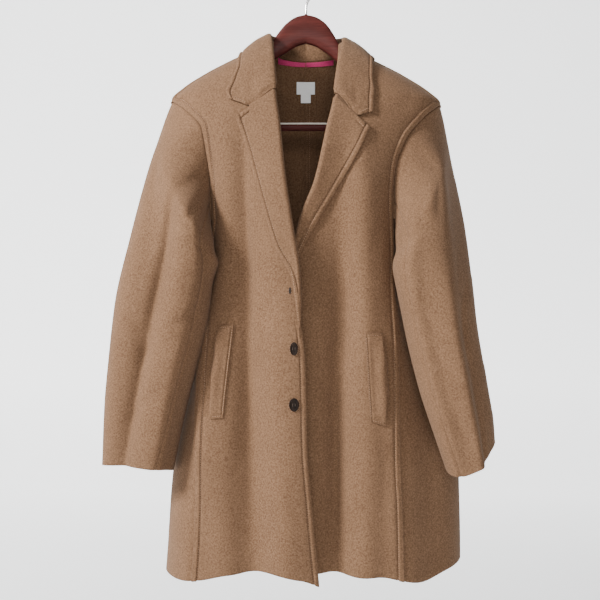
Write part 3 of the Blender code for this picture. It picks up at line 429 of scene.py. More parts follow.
# A stitch's sections: place along it, width and lift
STITCH_RINGS = ((-0.5, 0.25, 0.2), (-0.25, 1.0, 0.7), (0.25, 1.0, 0.7), (0.5, 0.25, 0.2))
RIM = [math.radians(a) for a in (50, 0, -50)]  # steps round a cloth's rounded edge
PANEL_ROWS = (96, 50, 34)  # from the hem to the underarm, to the shoulder point and to the neck
PANEL_COLUMNS = 44  # between the edges of a front or a back
EDGE_SHARE = 0.40  # most of a panel's width that one edge's steps may take


def ramp(value, low, high):
    """Runs from 0 at low to 1 at high, with soft ends."""
    t = np.clip((np.asarray(value, float) - low) / (high - low), 0.0, 1.0)
    return t * t * (3.0 - 2.0 * t)


def bell(off, width):
    """A bump of height 1 that fades on both sides."""
    return np.exp(-((off / width) ** 2))


def smooth(at, keys, values):
    """Reads values at some keys on a curve through the given ones that doesn't overshoot."""
    keys, values = np.asarray(keys, float), np.asarray(values, float)
    order = np.argsort(keys)
    keys, values = keys[order], values[order]
    step = np.diff(keys)
    slope = np.diff(values) / step
    bend = np.empty_like(values)
    bend[0], bend[-1] = slope[0], slope[-1]
    same = slope[:-1] * slope[1:] > 0
    total = np.where(same, slope[:-1] + slope[1:], 1.0)
    bend[1:-1] = np.where(same, 2.0 * slope[:-1] * slope[1:] / total, 0.0)
    at = np.clip(np.asarray(at, float), keys[0], keys[-1])
    i = np.clip(np.searchsorted(keys, at) - 1, 0, len(step) - 1)
    t = (at - keys[i]) / step[i]
    near = values[i] * (1 + 2 * t) * (1 - t) ** 2 + bend[i] * step[i] * t * (1 - t) ** 2
    far = values[i + 1] * t * t * (3 - 2 * t) - bend[i + 1] * step[i] * t * t * (1 - t)
    return near + far


def column(table, name, at, key="height"):
    return smooth(at, [getattr(row, key) for row in table], [getattr(row, name) for row in table])


def unit(vectors):
    return vectors / np.linalg.norm(vectors, axis=-1, keepdims=True)


def lengths(line):
    """Distance along a row of points."""
    return np.concatenate([[0], np.cumsum(np.linalg.norm(np.diff(line, axis=0), axis=1))])


def spans(grid, axis):
    """Distance along each row or column of a grid of points."""
    step = np.diff(grid, axis=axis, prepend=np.take(grid, [0], axis))
    return np.cumsum(np.linalg.norm(step, axis=2), axis=axis)


def read(at, length, line):
    """Points at some lengths along a row of points, on straight pieces between them."""
    return np.stack([np.interp(at, length, line[:, k]) for k in range(3)], axis=-1)


def creases(table, x, z):
    """Uneven soft troughs and ridges: steeper on one flank, fading and wandering along their run."""
    x, z = np.asarray(x, float), np.asarray(z, float)
    total = np.zeros(np.broadcast(x, z).shape)
    for number, fold in enumerate(table):
        x0, z0, x1, z1, bend, width, depth = np.array(fold) * MM
        run = math.hypot(x1 - x0, z1 - z0)
        tx, tz = (x1 - x0) / run, (z1 - z0) / run
        along = ((x - x0) * tx + (z - z0) * tz) / run
        inside = np.clip(along, 0.0, 1.0)
        wander = bend * 4 * inside * (1 - inside) + 0.0016 * np.sin(9.0 * inside + number)
        off = (z - z0) * tx - (x - x0) * tz - wander
        past = (along - inside) * run
        wide = width * (0.75 + 0.55 * inside) * np.where(off > 0, 1.35, 0.85)
        fade = ramp(along, -0.12, 0.30) * (1 - ramp(along, 0.62, 1.12))
        uneven = 1 + 0.22 * np.sin(5.0 * inside + 2.3 * number)
        total += depth * fade * uneven * bell(off, wide) * bell(past, 2 * width)
    return total


def ripple(x, z):
    """The slight unevenness of hanging cloth."""
    wave = np.sin(61 * x + 13 * z + 0.7) * np.sin(17 * z + 9 * x) + 0.6 * np.sin(93 * x - 29 * z + 2.0)
    return 0.00034 * wave


def folds(table, x, height):
    """How far the folds of one face stand out at a distance from the middle and a height."""
    out = np.zeros(np.broadcast(x, height).shape)
    along = ramp(height, FOLD_HEIGHTS[2], HEM)
    for fold in table:
        middle = fold.at_chest + (fold.at_hem - fold.at_chest) * along
        depth = smooth(height, FOLD_HEIGHTS, (fold.hem, fold.waist, fold.chest, 0.0))
        out = out + depth * bell(x - middle, fold.width)
    return out


def body(side, turn, height):
    """Middle surface of the body's cloth; turns run from 0 at centre front to 2 at centre back."""
    turn, height = np.broadcast_arrays(np.asarray(turn, float), np.asarray(height, float))
    sin, cos = np.sin(turn * math.pi / 2), np.cos(turn * math.pi / 2)
    ahead = turn < 1
    x = column(BODY, WORD[side], height) * sin
    deep = np.where(ahead, column(BODY, "front", height), column(BODY, "back", height))
    back_boxy = SQUARE_BACK + (SQUARE - SQUARE_BACK) * ramp(height, -0.30, TIP)
    out = np.where(ahead, folds(FRONT_FOLDS[side], x, height), folds(BACK_FOLDS[side], x, height))
    soft = np.where(ahead, creases(FRONT_CREASES[side], x, height), creases(BACK_CREASES[side], x, height))
    soft = (soft + ripple(x, height)) * (1 - ramp(height, TIP - 0.05, NECK))
    y = -deep * cos * (1 + np.where(ahead, SQUARE, back_boxy) * sin * sin) - (out + soft) * cos
    x = x + soft * sin
    if side == RIGHT:
        under = column(LAP, "depth", height) * (1 - ramp(x, LAP_FULL, LAP_END))
        y = y + np.where(ahead, under, 0.0)
    z = height - SHOULDER_DROP[side] * sin * sin * ramp(height, -0.50, TIP)
    z = z - HEM_LIFT * out * np.abs(cos) * ramp(height, -0.62, HEM)
    rise = column(HEM_RISE[side], "rise", x, "x") * (1 - ramp(turn, 0.9, 1.3))
    z = z + rise * ramp(height, HEM_START, HEM)
    z = z - NECK_DIP * ramp(turn, 1.0, 2.0) * ramp(height, TIP, NECK)
    near_arm = ramp(height, UNDERARM - 0.12, UNDERARM) * (1 - ramp(height, UNDERARM, UNDERARM + 0.05))
    z = z - UNDERARM_DIP * bell(turn - 1, 0.12) * near_arm
    return np.stack([side * x, y, z], axis=-1)


def body_out(side, turn, height):
    """Unit vectors square to the body's cloth, pointing out."""
    e, f = 1e-4, 2e-4
    across = body(side, turn + e, height) - body(side, turn - e, height)
    up = body(side, turn, np.asarray(height) + f) - body(side, turn, np.asarray(height) - f)
    return unit(np.cross(across, up) * side)


def turn_at(side, x, height):
    half = column(BODY, WORD[side], height)
    return np.arcsin(np.clip(x / half, -0.999, 0.999)) * 2 / math.pi


def front_inner(side, height):
    """Turn of a front's inner edge: neck, roll line, then the lap's edge."""
    rolls, edge = LAPEL[side], LAP_EDGE[side]
    wrap = ROLL + DOUBLE / 2
    keys = [NECK] + [row.roll_z for row in rolls] + [row.height for row in edge]
    shift = [wrap * (1 - ramp(-row.roll_z, -rolls[-1].roll_z - 0.05, -rolls[-1].roll_z)) for row in rolls]
    xs = [NECK_IN] + [row.roll_x + s for row, s in zip(rolls, shift)] + [row.x for row in edge]
    return turn_at(side, smooth(height, keys, xs), height)


def front_outer(side, height):
    """Turn of a front's outer edge: side seam, armhole, then the shoulder seam."""
    height = np.asarray(height, float)
    seam = turn_at(side, column(SIDE_SEAM[side], "x", height), height)
    arm = turn_at(side, column(ARMHOLE_FRONT[side], "x", height), height)
    return np.where(height >= TIP, SHOULDER_TURN, np.where(height >= UNDERARM, arm, seam))


def back_outer(side, height):
    """Turn of a back's armhole, and of the shoulder seam above it."""
    height = np.asarray(height, float)
    keys = [UNDERARM] + [row.height for row in ARMHOLE_BACK[::-1]] + [TIP]
    turns = [BACK_ARM_TURN] + [2 - float(turn_at(side, r.x, r.height)) for r in ARMHOLE_BACK[::-1]]
    turns = turns + [SHOULDER_TURN]
    return np.where(height >= TIP, SHOULDER_TURN, smooth(height, keys, turns))


def slant(side, edge, height):
    """Metres for each turn square to an edge, from how the rows meet it."""
    e = 2e-4
    turn = edge(side, height)
    across = (body(side, turn + e, height) - body(side, turn - e, height)) / (2 * e)
    along = body(side, edge(side, height + e), height + e) - body(side, edge(side, height - e), height - e)
    size = np.linalg.norm(across, axis=-1)
    square = np.linalg.norm(np.cross(across, along), axis=-1) / (size * np.linalg.norm(along, axis=-1))
    return size * np.clip(square, 0.4, 1.0)


def from_edge(side, edge, height, distance):
    """Turn at a distance from an edge, measured square to it, plus towards centre back."""
    return edge(side, height) + distance / slant(side, edge, height)


def rows():
    """Heights of a panel's rows, from the hem to the neck."""
    lower, middle, upper = PANEL_ROWS
    low = HEM + (UNDERARM - HEM) * np.linspace(0, 1, lower + 1)
    mid = UNDERARM + (TIP - UNDERARM) * (1 - (1 - np.linspace(0, 1, middle + 1)) ** 1.5)
    top = TIP + (NECK - TIP) * np.linspace(0, 1, upper + 1)
    return np.concatenate([low, mid[1:], top[1:]])


def grid_out(points):
    """Unit vectors square to a grid of points."""
    return unit(np.cross(np.gradient(points, axis=1), np.gradient(points, axis=0)))


def arm_line(side, past):
    """Turns and heights along the armhole: down the front, under the arm, then up the back."""
    down = UNDERARM + (TIP - UNDERARM) * np.linspace(1, 0, ARM_POINTS) ** 1.3
    up = down[::-1]
    across = np.linspace(front_outer(side, UNDERARM), BACK_ARM_TURN, 40)[1:-1]
    lead = from_edge(side, front_outer, down - 1e-6, past)
    rear = from_edge(side, back_outer, up - 1e-6, -past)
    levels = np.concatenate([down, np.full(len(across), UNDERARM), up])
    return np.concatenate([lead, across, rear]), levels


def armhole(side):
    """The closed line where the sleeve turns out of the armhole."""
    turns, levels = arm_line(side, SLEEVE_STEP)
    line = body(side, turns, levels)
    line[ARM_POINTS:-ARM_POINTS, 2] += SLEEVE_STEP
    clear = UNDERARM_CLEAR * (1 - ramp(levels, UNDERARM, UNDERARM + 0.10))
    return line + body_out(side, arm_line(side, 0.0)[0], levels) * clear[:, None]


def tucked(side):
    """The sleeve's top edge, which runs on under the lip of the armhole."""
    turns, levels = arm_line(side, -TUCK)
    line = body(side, turns, levels) - body_out(side, turns, levels) * SINK
    line[ARM_POINTS:-ARM_POINTS, 2] += SINK
    return line


def ring(side, row, degrees):
    angle = np.radians(degrees)
    cos, sin = np.cos(angle), np.sin(angle)
    x = (row.outer + row.inner) / 2 + (row.outer - row.inner) / 2 * cos
    y = (row.front + row.back) / 2 + (row.front - row.back) / 2 * sin + row.swing * cos
    z = row.height + row.rise * cos - row.back_rise * sin
    return np.stack([side * x, y, z], axis=-1)


def lapel_line(side, name, along):
    table = LAPEL[side]
    return smooth(along, np.arange(len(table)), [getattr(row, name) for row in table])


def neck_seam(side, along):
    """Where the collar's foot stands: the back's top, the front's top, then the front's inner edge."""
    inner = float(front_inner(side, NECK))
    if along <= CORNER:
        turn = smooth(along, (0.0, 0.5, CORNER), (2.0, SHOULDER_TURN, inner))
        return body(side, turn, NECK) + (0, 0, FOOT_GAP * (1 + 2.2 * ramp(along, 0.40, 0.54)))
    share = (along - CORNER) / (1 - CORNER)
    height = NECK + (LAPEL[side][0].roll_z + 0.004 - NECK) * share
    edge = body(side, front_inner(side, height), height)
    return edge + (-side * 3.0 * FOOT_GAP, 0, 3.2 * FOOT_GAP * (1 - share))


def collar_row(side, along):
    """One section of the collar's middle line: foot, turn at the crest, fall."""
    x, y, z, turn, height = (column(COLLAR[side], name, along, "along") for name in Collar._fields[1:])
    crest = np.array([x, y, z])
    edge = body(side, turn, height) + body_out(side, turn, height) * COLLAR_REST
    edge, foot = edge * (side, 1, 1), neck_seam(side, along) * (side, 1, 1)
    up = unit(crest - (foot + edge) / 2)
    out = edge - foot
    out = unit(out - up * out.dot(up))
    centre = crest - up * CREST
    points = [foot, foot + (centre - out * CREST - foot) * 0.5]
    for angle in np.radians(np.linspace(0, 180, 6)):
        points.append(centre - out * CREST * math.cos(angle) + up * CREST * math.sin(angle))
    last = points[-1]
    top = LAPEL[side][0]
    root_x = top.roll_x + ROLL + DOUBLE / 2
    sewn_x = root_x + (top.edge_x - root_x) * NOTCH
    sewn_z = top.roll_z + (top.edge_z - top.roll_z) * NOTCH + GORGE
    lie = body(side, turn_at(side, sewn_x, sewn_z), sewn_z)
    sewn = np.array([sewn_x, lie[1] - LAPEL_REST - 0.0012, sewn_z])
    plain = last + (edge - last) * 0.55 + out * 0.003
    middle = plain + (sewn - plain) * ramp(along, 0.80, 1.0)
    points += [(last + middle) / 2 + out * 0.0015, middle, (middle + edge) / 2, edge]
    return np.array(points) * (side, 1, 1)


def shoulder_top(side, x):
    """Height of the shoulder's ridge over a distance from the middle."""
    heights = np.linspace(NECK, TIP, 200)
    ridge = body(side, 1.0, heights)
    return np.interp(x, side * ridge[:, 0], ridge[:, 2])


def link(name, data):
    obj = bpy.data.objects.new(name, data)
    bpy.context.scene.collection.objects.link(obj)
    return obj


def own(obj, node):
    """Files a finished piece: it rides with the part and stands for a node."""
    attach(obj, "root")
    if node:
        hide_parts(node)
    return obj


def mesh_object(name, points, faces, made):
    mesh = bpy.data.meshes.new(name)
    mesh.from_pydata(np.asarray(points).tolist(), [], faces)
    bm = bmesh.new()
    bm.from_mesh(mesh)
    bmesh.ops.delete(bm, geom=[v for v in bm.verts if not v.link_faces], context="VERTS")
    bmesh.ops.recalc_face_normals(bm, faces=bm.faces)
    bm.to_mesh(mesh)
    bm.free()
    for polygon in mesh.polygons:
        polygon.use_smooth = True
    mesh.materials.append(made)
    return link(name, mesh)


def circle(middle, across, up, radius, sides):
    angle = np.linspace(0, 2 * math.pi, sides, endpoint=False)[:, None]
    return middle + (across * np.cos(angle) + up * np.sin(angle)) * radius


def skin(rings):
    """Points and faces of a closed form through rings of points, with flat ends."""
    count, sides = len(rings), len(rings[0])
    faces = []
    for k in range(count - 1):
        for i in range(sides):
            j = (i + 1) % sides
            faces.append((k * sides + i, k * sides + j, (k + 1) * sides + j, (k + 1) * sides + i))
    faces += [tuple(range(sides)), tuple(range((count - 1) * sides, count * sides))]
    return np.concatenate(rings), faces


def joined(forms):
    """Points and faces of several forms as one."""
    points, faces = [], []
    for more, sides in forms:
        faces += [tuple(i + len(points) for i in face) for face in sides]
        points += more.tolist()
    return points, faces


def disc(base, across, up, out, profile, sides=56):
    """A turned form: a profile of radii and lifts about an axis."""
    return skin([circle(base + out * lift, across, up, radius, sides) for radius, lift in profile])


def tube(name, made, line, radius, sides, node=None):
    """A round bar or wire along a line of points that lies in one upright plane."""
    line, level = np.array(line, float), np.array((0.0, 1.0, 0.0))
    ahead = unit(np.gradient(line, axis=0))
    rings = [circle(p, level, np.cross(t, level), radius, sides) for p, t in zip(line, ahead)]
    own(mesh_object(name, *skin(rings), made), node)


def cloth(name, outer, inner, made, node=None, keep=None, bulge=0.8):
    """A closed shell of cloth between two grids of points, with a rounded edge all round."""
    count, across = outer.shape[:2]
    half = count * across
    if keep is None:
        keep = np.ones((count - 1, across - 1), bool)
    grid = np.arange(half).reshape(count, across)
    corners = (grid[:-1, :-1], grid[:-1, 1:], grid[1:, 1:], grid[1:, :-1])
    front_faces = np.stack([corner[keep] for corner in corners], axis=1)
    ends = np.concatenate([front_faces[:, [k, (k + 1) % 4]] for k in range(4)])
    code = ends.min(axis=1) * half + ends.max(axis=1)
    _, first, times = np.unique(code, return_index=True, return_counts=True)
    border = ends[first[times == 1]]
    top, low = outer.reshape(-1, 3), inner.reshape(-1, 3)
    middle, up = (top + low) / 2, (top - low) / 2
    away = np.zeros_like(middle)
    for start, end in border:
        side = np.cross(middle[end] - middle[start], up[start])
        size = np.linalg.norm(side)
        if size > 1e-12:
            away[start] += side / size
            away[end] += side / size
    used = np.unique(border)
    away[used] /= np.maximum(np.linalg.norm(away[used], axis=1, keepdims=True), 1e-9)
    begin, finish = border[0]
    owner = np.where((front_faces == begin).any(axis=1) & (front_faces == finish).any(axis=1))[0][0]
    if np.dot(away[begin], middle[begin] - middle[front_faces[owner]].mean(axis=0)) < 0:
        away = -away
    thick = np.linalg.norm(up, axis=1, keepdims=True)
    points = [top, low]
    for angle in RIM:
        rim = up[used] * math.sin(angle) + away[used] * thick[used] * math.cos(angle) * bulge
        points.append(middle[used] + rim)
    place = np.full(half, -1)
    place[used] = np.arange(len(used))
    faces = front_faces.tolist() + (front_faces[:, ::-1] + half).tolist()
    for start, end in border:
        ladder = [(start, end)]
        for k in range(len(RIM)):
            shift = 2 * half + k * len(used)
            ladder.append((shift + place[start], shift + place[end]))
        ladder.append((start + half, end + half))
        for (p, q), (r, t) in zip(ladder[:-1], ladder[1:]):
            faces.append((int(p), int(q), int(t), int(r)))
    return own(mesh_object(name + "_cloth", np.concatenate(points), faces, made), node)


def stitches(name, lines, made):
    """Rows of small thread stitches along lines of (points, outward vectors)."""
    forms = []
    for line, out in lines:
        length = lengths(line)
        at = np.arange(STITCH_STEP, length[-1] - STITCH_STEP, STITCH_STEP)
        spot = read(at, length, line)
        ahead, lift = unit(read(at + 1e-3, length, line) - spot), unit(read(at, length, out))
        for p, t, n, c in zip(spot, ahead, lift, np.cross(ahead, lift)):
            rings = []
            for share, wide, high in STITCH_RINGS:
                middle = p + t * share * STITCH_LONG + n * high * STITCH_WIDE
                rings.append(circle(middle, c, n, STITCH_WIDE * wide, 3))
            forms.append(skin(rings))
    return own(mesh_object(name, *joined(forms), made), None)


def groove(distance):
    """A sewn line: the cloth sinks along it and stands a little fuller towards the edge."""
    full = ramp(distance, 0.0005, 0.0025) * (1 - ramp(distance, STITCH_AT - 0.0022, STITCH_AT - 0.0004))
    return 0.0007 * full - 0.0014 * bell(distance - STITCH_AT, 0.0011)


def lapped(distance):
    """Rise of a lapped seam's upper layer: a raised band with a sewn line behind it."""
    band = LIP * (1 - ramp(distance, BAND - 0.0010, BAND + 0.0008))
    return band + 0.0004 * bell(distance, 0.0018) - 0.0011 * bell(distance - BAND - 0.0008, 0.0010)


def tuck_in(distance, end=0.0100):
    """How far a lower layer sinks near its edge under a lapped seam."""
    return -SINK * (1 - ramp(distance, 0.0030, end))


def between(low, high, count):
    """Columns strictly between two columns of turns."""
    share = np.linspace(0, 1, count + 2)[1:-1]
    return low[:, None] + (high - low)[:, None] * share


def front(side, made):
    name = "front_" + WORD[side]
    heights = rows()
    inner, outer = front_inner(side, heights), from_edge(side, front_outer, heights, -SEAM)
    size_in, size_out = slant(side, front_inner, heights), slant(side, front_outer, heights)
    steps = np.array(EDGE)
    fit_in, fit_out = (
        np.minimum(1.0, EDGE_SHARE * (outer - inner) * size / steps[-1]) for size in (size_in, size_out)
    )
    lead = inner[:, None] + steps * (fit_in / size_in)[:, None]
    tail = outer[:, None] - steps[::-1] * (fit_out / size_out)[:, None]
    turn = np.concatenate([lead, between(lead[:, -1], tail[:, 0], PANEL_COLUMNS), tail], axis=1)
    height = np.repeat(heights[:, None], turn.shape[1], axis=1)
    near_in = (turn - inner[:, None]) * size_in[:, None]
    near_out = (outer[:, None] - turn) * size_out[:, None]
    stop = LAPEL[side][-1].roll_z
    rise = lapped(near_out) + groove(near_in) * (1 - ramp(height, stop - 0.004, stop + 0.03))
    middle, out = body(side, turn, height), body_out(side, turn, height)
    top = middle + out * (CLOTH / 2 + rise)[..., None]
    obj = cloth(name, top, middle - out * THIN, made, name)
    low = heights < stop
    lines = [(top[low, STITCH_COLUMN], out[low, STITCH_COLUMN])] if side == LEFT else []
    last = turn.shape[1] - 1 - STITCH_COLUMN
    for part in (heights <= UNDERARM, (heights >= UNDERARM) & (heights <= TIP), heights >= TIP):
        lines.append((top[part, last], out[part, last]))
    return obj, lines


def back(side, made):
    name = "back_" + WORD[side]
    heights, arm_row = rows(), PANEL_ROWS[0]
    below, shoulder = heights < UNDERARM, heights >= TIP
    arm_part = ~below & ~shoulder
    speed = column(BODY, WORD[side], heights) * math.pi / 2
    middle_turn = 2 - SEAM / speed
    seam = from_edge(side, front_outer, heights, -TUCK)
    arm = back_outer(side, heights)
    arm[:arm_row] = BACK_ARM_TURN
    arm = np.where(shoulder, from_edge(side, back_outer, heights, -TUCK), arm)
    steps = np.array(EDGE)
    size_arm = slant(side, back_outer, heights)
    size_arm[:arm_row] = size_arm[arm_row]
    fit = np.minimum(1.0, EDGE_SHARE * (middle_turn - arm) * size_arm / steps[-1])
    low = seam[:, None] + (arm - seam)[:, None] * np.linspace(0, 1, 29)[:-1]
    low[arm_row + 1 :] = arm[arm_row + 1 :, None]
    under = low.shape[1]
    lead = arm[:, None] + steps * (fit / size_arm)[:, None]
    tail = middle_turn[:, None] - np.array((0.004, 0.002, 0.001, 0.0)) / speed[:, None]
    turn = np.concatenate([low, lead, between(lead[:, -1], tail[:, 0], PANEL_COLUMNS), tail], axis=1)
    height = np.repeat(heights[:, None], turn.shape[1], axis=1)
    near_arm = (turn - arm[:, None]) * size_arm[:, None]
    near_seam = (turn - seam[:, None]) * slant(side, front_outer, heights)[:, None]
    near_middle = (middle_turn[:, None] - turn) * speed[:, None]
    rise = -0.0016 * bell(near_middle, 0.0022)
    rise = rise + np.where(arm_part[:, None], lapped(near_arm), 0.0)
    rise = rise + np.where(below[:, None], tuck_in(near_seam), 0.0)
    rise = rise + np.where(shoulder[:, None], tuck_in(near_arm), 0.0)
    middle, out = body(side, turn, height), body_out(side, turn, height)
    top = middle + out * (CLOTH / 2 + rise)[..., None]
    keep = np.ones((turn.shape[0] - 1, turn.shape[1] - 1), bool)
    keep[arm_row:, :under] = False
    obj = cloth(name, top, middle + out * (rise.clip(max=0) - THIN)[..., None], made, name, keep=keep)
    sewn = under + STITCH_COLUMN
    return obj, [(top[arm_part, sewn], out[arm_part, sewn])]


def along_stations(at, stations):
    """Reads places on smooth curves through grids of points, one curve for each grid point."""
    step = np.diff(stations, axis=0)
    bend = np.empty_like(stations)
    bend[0], bend[-1] = step[0], step[-1]
    same = step[:-1] * step[1:] > 0
    total = np.where(same, step[:-1] + step[1:], 1.0)
    bend[1:-1] = np.where(same, 2.0 * step[:-1] * step[1:] / total, 0.0)
    i = np.clip(np.floor(at).astype(int), 0, len(step) - 1)
    t = (at - i)[..., None]
    pick = i[None, ..., None]
    low, high = (np.take_along_axis(stations, k, axis=0)[0] for k in (pick, pick + 1))
    leave, arrive = (np.take_along_axis(bend, k, axis=0)[0] for k in (pick, pick + 1))
    near = low * (1 + 2 * t) * (1 - t) ** 2 + leave * t * (1 - t) ** 2
    return near + high * t * t * (3 - 2 * t) - arrive * t * t * (1 - t)


def sleeve_points(side, down, degrees):
    """Middle surface of a sleeve: down counts rings from the armhole, degrees start at the outer side."""
    line = armhole(side)
    length = lengths(line)
    ends = (0.0, length[ARM_POINTS // 2], length[ARM_POINTS - 1], length[-ARM_POINTS], length[-1])
    angle = np.mod(degrees, 360.0)
    share = smooth(angle, (0.0, 90.0, 180.0, 225.0, 360.0), ends)
    table = SLEEVE[side]
    stations = [read(share, length, own_line) for own_line in (tucked(side), line)]
    stations += [ring(side, row, degrees) for row in table]
    points = along_stations(down + 1.0, np.array(stations))
    push = np.zeros(degrees.shape)
    for fold in SLEEVE_FOLDS[side]:
        middle = fold.at_top + (fold.at_cuff - fold.at_top) * down / len(table)
        push += fold.depth * bell(angle - middle, fold.width)
    push *= ramp(down, 0.3, 1.6)
    flat = (angle * DEGREE_LONG, -RING_LONG * down)
    push += creases(SLEEVE_CREASES[side], *flat) + ripple(*flat) * ramp(down, 0.3, 1.2)
    radians = np.radians(degrees)
    points[..., 0] += side * np.cos(radians) * push
    points[..., 1] -= np.sin(radians) * push
    return points


def sleeve(side, made):
    """Both pieces of a sleeve; the upper one laps over the under one at both seams."""
    count = len(SLEEVE[side])
    tuck = np.linspace(-1, 0, 6)[:-1]
    down = np.concatenate([tuck, np.linspace(0, 1, 34)[:-1], np.linspace(1, count, 116)])
    share = np.clip(down, 0, count) / count
    lead, rear = (top + (cuff - top) * share for top, cuff in (SLEEVE_FRONT_SEAM, SLEEVE_BACK_SEAM))
    pieces = {}
    for word, start, end, columns in (
        ("top", rear - 360, lead, 66),
        ("under", lead - SLEEVE_LAP, rear + SLEEVE_LAP, 54),
    ):
        spread = np.linspace(0, 1, columns)
        spread = spread - 0.10 * np.sin(2 * math.pi * spread) / (2 * math.pi)
        degrees = start[:, None] + (end - start)[:, None] * spread
        rings = np.repeat(down[:, None], columns, axis=1)
        middle = sleeve_points(side, rings, degrees)
        out = grid_out(middle)
        if np.sum((middle - middle.mean(axis=1, keepdims=True)) * out) < 0:
            out = -out
        span = spans(middle, 1)
        near = np.minimum(span, span[:, -1:] - span)
        seam = -0.0009 * bell(near, 0.0020) if word == "top" else tuck_in(near, 0.0090)
        rise = seam - 0.0016 * bell(np.maximum(rings, 0), 0.07)
        top = middle + out * (CLOTH / 2 + rise)[..., None]
        name = f"sleeve_{word}_{WORD[side]}"
        pieces[name] = (cloth(name, top, middle + out * (rise - THIN)[..., None], made, name), [])
    return pieces


def resample(row, places):
    """Points at some lengths along a row of points, on smooth curves through them."""
    length = lengths(row)
    return np.stack([smooth(places, length, row[:, k]) for k in range(3)], axis=-1), length


def lapel(side, made):
    name = "lapel_" + WORD[side]
    steps = np.array(EDGE)
    along = np.concatenate([steps / 0.050 + 0.022, np.linspace(0.32, 6.0, 118)])
    roll_z, edge_x, edge_z = (lapel_line(side, part, along) for part in Lapel._fields[1:])
    taper = ramp(along, 4.7, 6.0)
    radius = (ROLL_BREAK + (ROLL - ROLL_BREAK) * (1 - ramp(along, 3.2, 5.4))) * (1 - 0.7 * taper)
    start = body(side, front_inner(side, roll_z), roll_z)
    root_x = side * start[:, 0] - SEAM * (3 + 3 * ramp(along, 4.0, 5.0))
    root_x = root_x + 0.75 * taper * (edge_x - root_x)
    columns = []
    for angle in np.radians(np.linspace(0, 180, 15)):
        x = root_x - radius * math.sin(angle)
        y = start[:, 1] - radius * (1 - math.cos(angle))
        columns.append(np.stack([side * x, y, roll_z], axis=-1))
    rolled = len(columns)
    wide = np.hypot(edge_x - root_x, edge_z - roll_z)
    fit = np.minimum(1.0, 0.5 * wide / steps[-1])
    tail = 1 - steps[::-1] * (fit / wide)[:, None]
    shares = np.concatenate([between(np.zeros_like(wide), tail[:, 0], 24), tail], axis=1)
    rest = LAPEL_REST * (1 - 0.45 * taper)
    for share in shares.T:
        x = root_x + (edge_x - root_x) * share
        z = roll_z + (edge_z - roll_z) * share
        lie = body(side, turn_at(side, x, z), z)
        lift = rest + (2 * radius - rest) * (1 - share) ** 1.3
        columns.append(np.stack([side * x, lie[:, 1] - lift, z], axis=-1))
    middle = np.stack(columns, axis=1)
    out = grid_out(middle)
    if out[len(along) // 2, -5, 1] > 0:
        out = -out
    flat = np.concatenate([np.zeros((len(along), rolled)), shares], axis=1)
    near_edge = (1 - flat) * wide[:, None]
    top_sewn = groove(spans(middle, 0)) * ramp(flat, NOTCH, NOTCH + 0.06) * ramp(near_edge, 0.004, 0.009)
    edge_sewn = groove(near_edge) * (1 - ramp(along, 5.2, 5.9)[:, None])
    rise = (edge_sewn + top_sewn) * (flat > 0)
    thick = HALF_DOUBLE * (1 - 0.7 * taper)[:, None]
    top = middle + out * (thick + rise)[..., None]
    low = middle - out * thick[..., None]
    upward = unit(middle[0] - middle[1])
    tucks = np.array([upward * reach - out[0] * sink for reach, sink in GORGE_TUCK])
    upper, lower = (np.concatenate([face[0] + tucks, face]) for face in (top, low))
    keep = np.ones((len(upper) - 1, middle.shape[1] - 1), bool)
    keep[: len(tucks)] = flat[0, 1:] < NOTCH
    obj = cloth(name, upper, lower, made, name, keep=keep, bulge=0.6)
    last = top.shape[1] - 1 - STITCH_COLUMN
    down = slice(STITCH_COLUMN, -10)
    over = np.where(flat[0] > NOTCH + 0.03)[0]
    over = over[over <= last]
    return obj, [(top[at], out[at]) for at in ((down, last), (STITCH_COLUMN, over))]


def collar(made):
    steps = np.array(EDGE)[::-1]
    ends = 1 - steps / 0.260 - 0.004
    half = np.concatenate([np.linspace(0, ends[0], 74)[:-1], ends])
    row_points = [collar_row(LEFT, a) for a in half[:0:-1]]
    row_points += [(collar_row(LEFT, 0.0) + collar_row(RIGHT, 0.0)) / 2]
    row_points += [collar_row(RIGHT, a) for a in half[1:]]
    grid, near_edge, past_seam = [], [], []
    for row in row_points:
        length = lengths(row)[-1]
        places = np.concatenate([np.linspace(0, length - EDGE[-1], 40)[:-1], length - steps])
        spots, marks = resample(row, places)
        grid.append(spots)
        near_edge.append(length - places)
        past_seam.append(places - marks[-3])
    middle, near_edge, past_seam = np.array(grid), np.array(near_edge), np.array(past_seam)
    out = grid_out(middle)
    if out[len(grid) // 2, -6, 1] < 0:
        out = -out
    span = spans(middle, 0)
    near_end = np.minimum(span, span[-1:] - span)
    free = ramp(past_seam, 0.001, 0.006)
    rise = groove(near_edge) * (near_edge < 0.05) + groove(near_end) * free * ramp(near_edge, 0.004, 0.009)
    sunk = 0.0022 * (1 - ramp(near_end, 0.0, 0.0090)) * (1 - free)
    top = middle + out * (HALF_DOUBLE + rise - sunk)[..., None]
    low = middle - out * (HALF_DOUBLE + 0.4 * sunk)[..., None]
    obj = cloth("collar", top, low, made, "collar", bulge=0.6)
    last = top.shape[1] - 1 - STITCH_COLUMN
    sewn = slice(STITCH_COLUMN, -STITCH_COLUMN)
    lines = [(top[sewn, last], out[sewn, last])]
    for row in (STITCH_COLUMN, top.shape[0] - 1 - STITCH_COLUMN):
        over = np.where(past_seam[row] > 0.004)[0]
        over = over[over <= last]
        lines.append((top[row, over], out[row, over]))
    return obj, lines


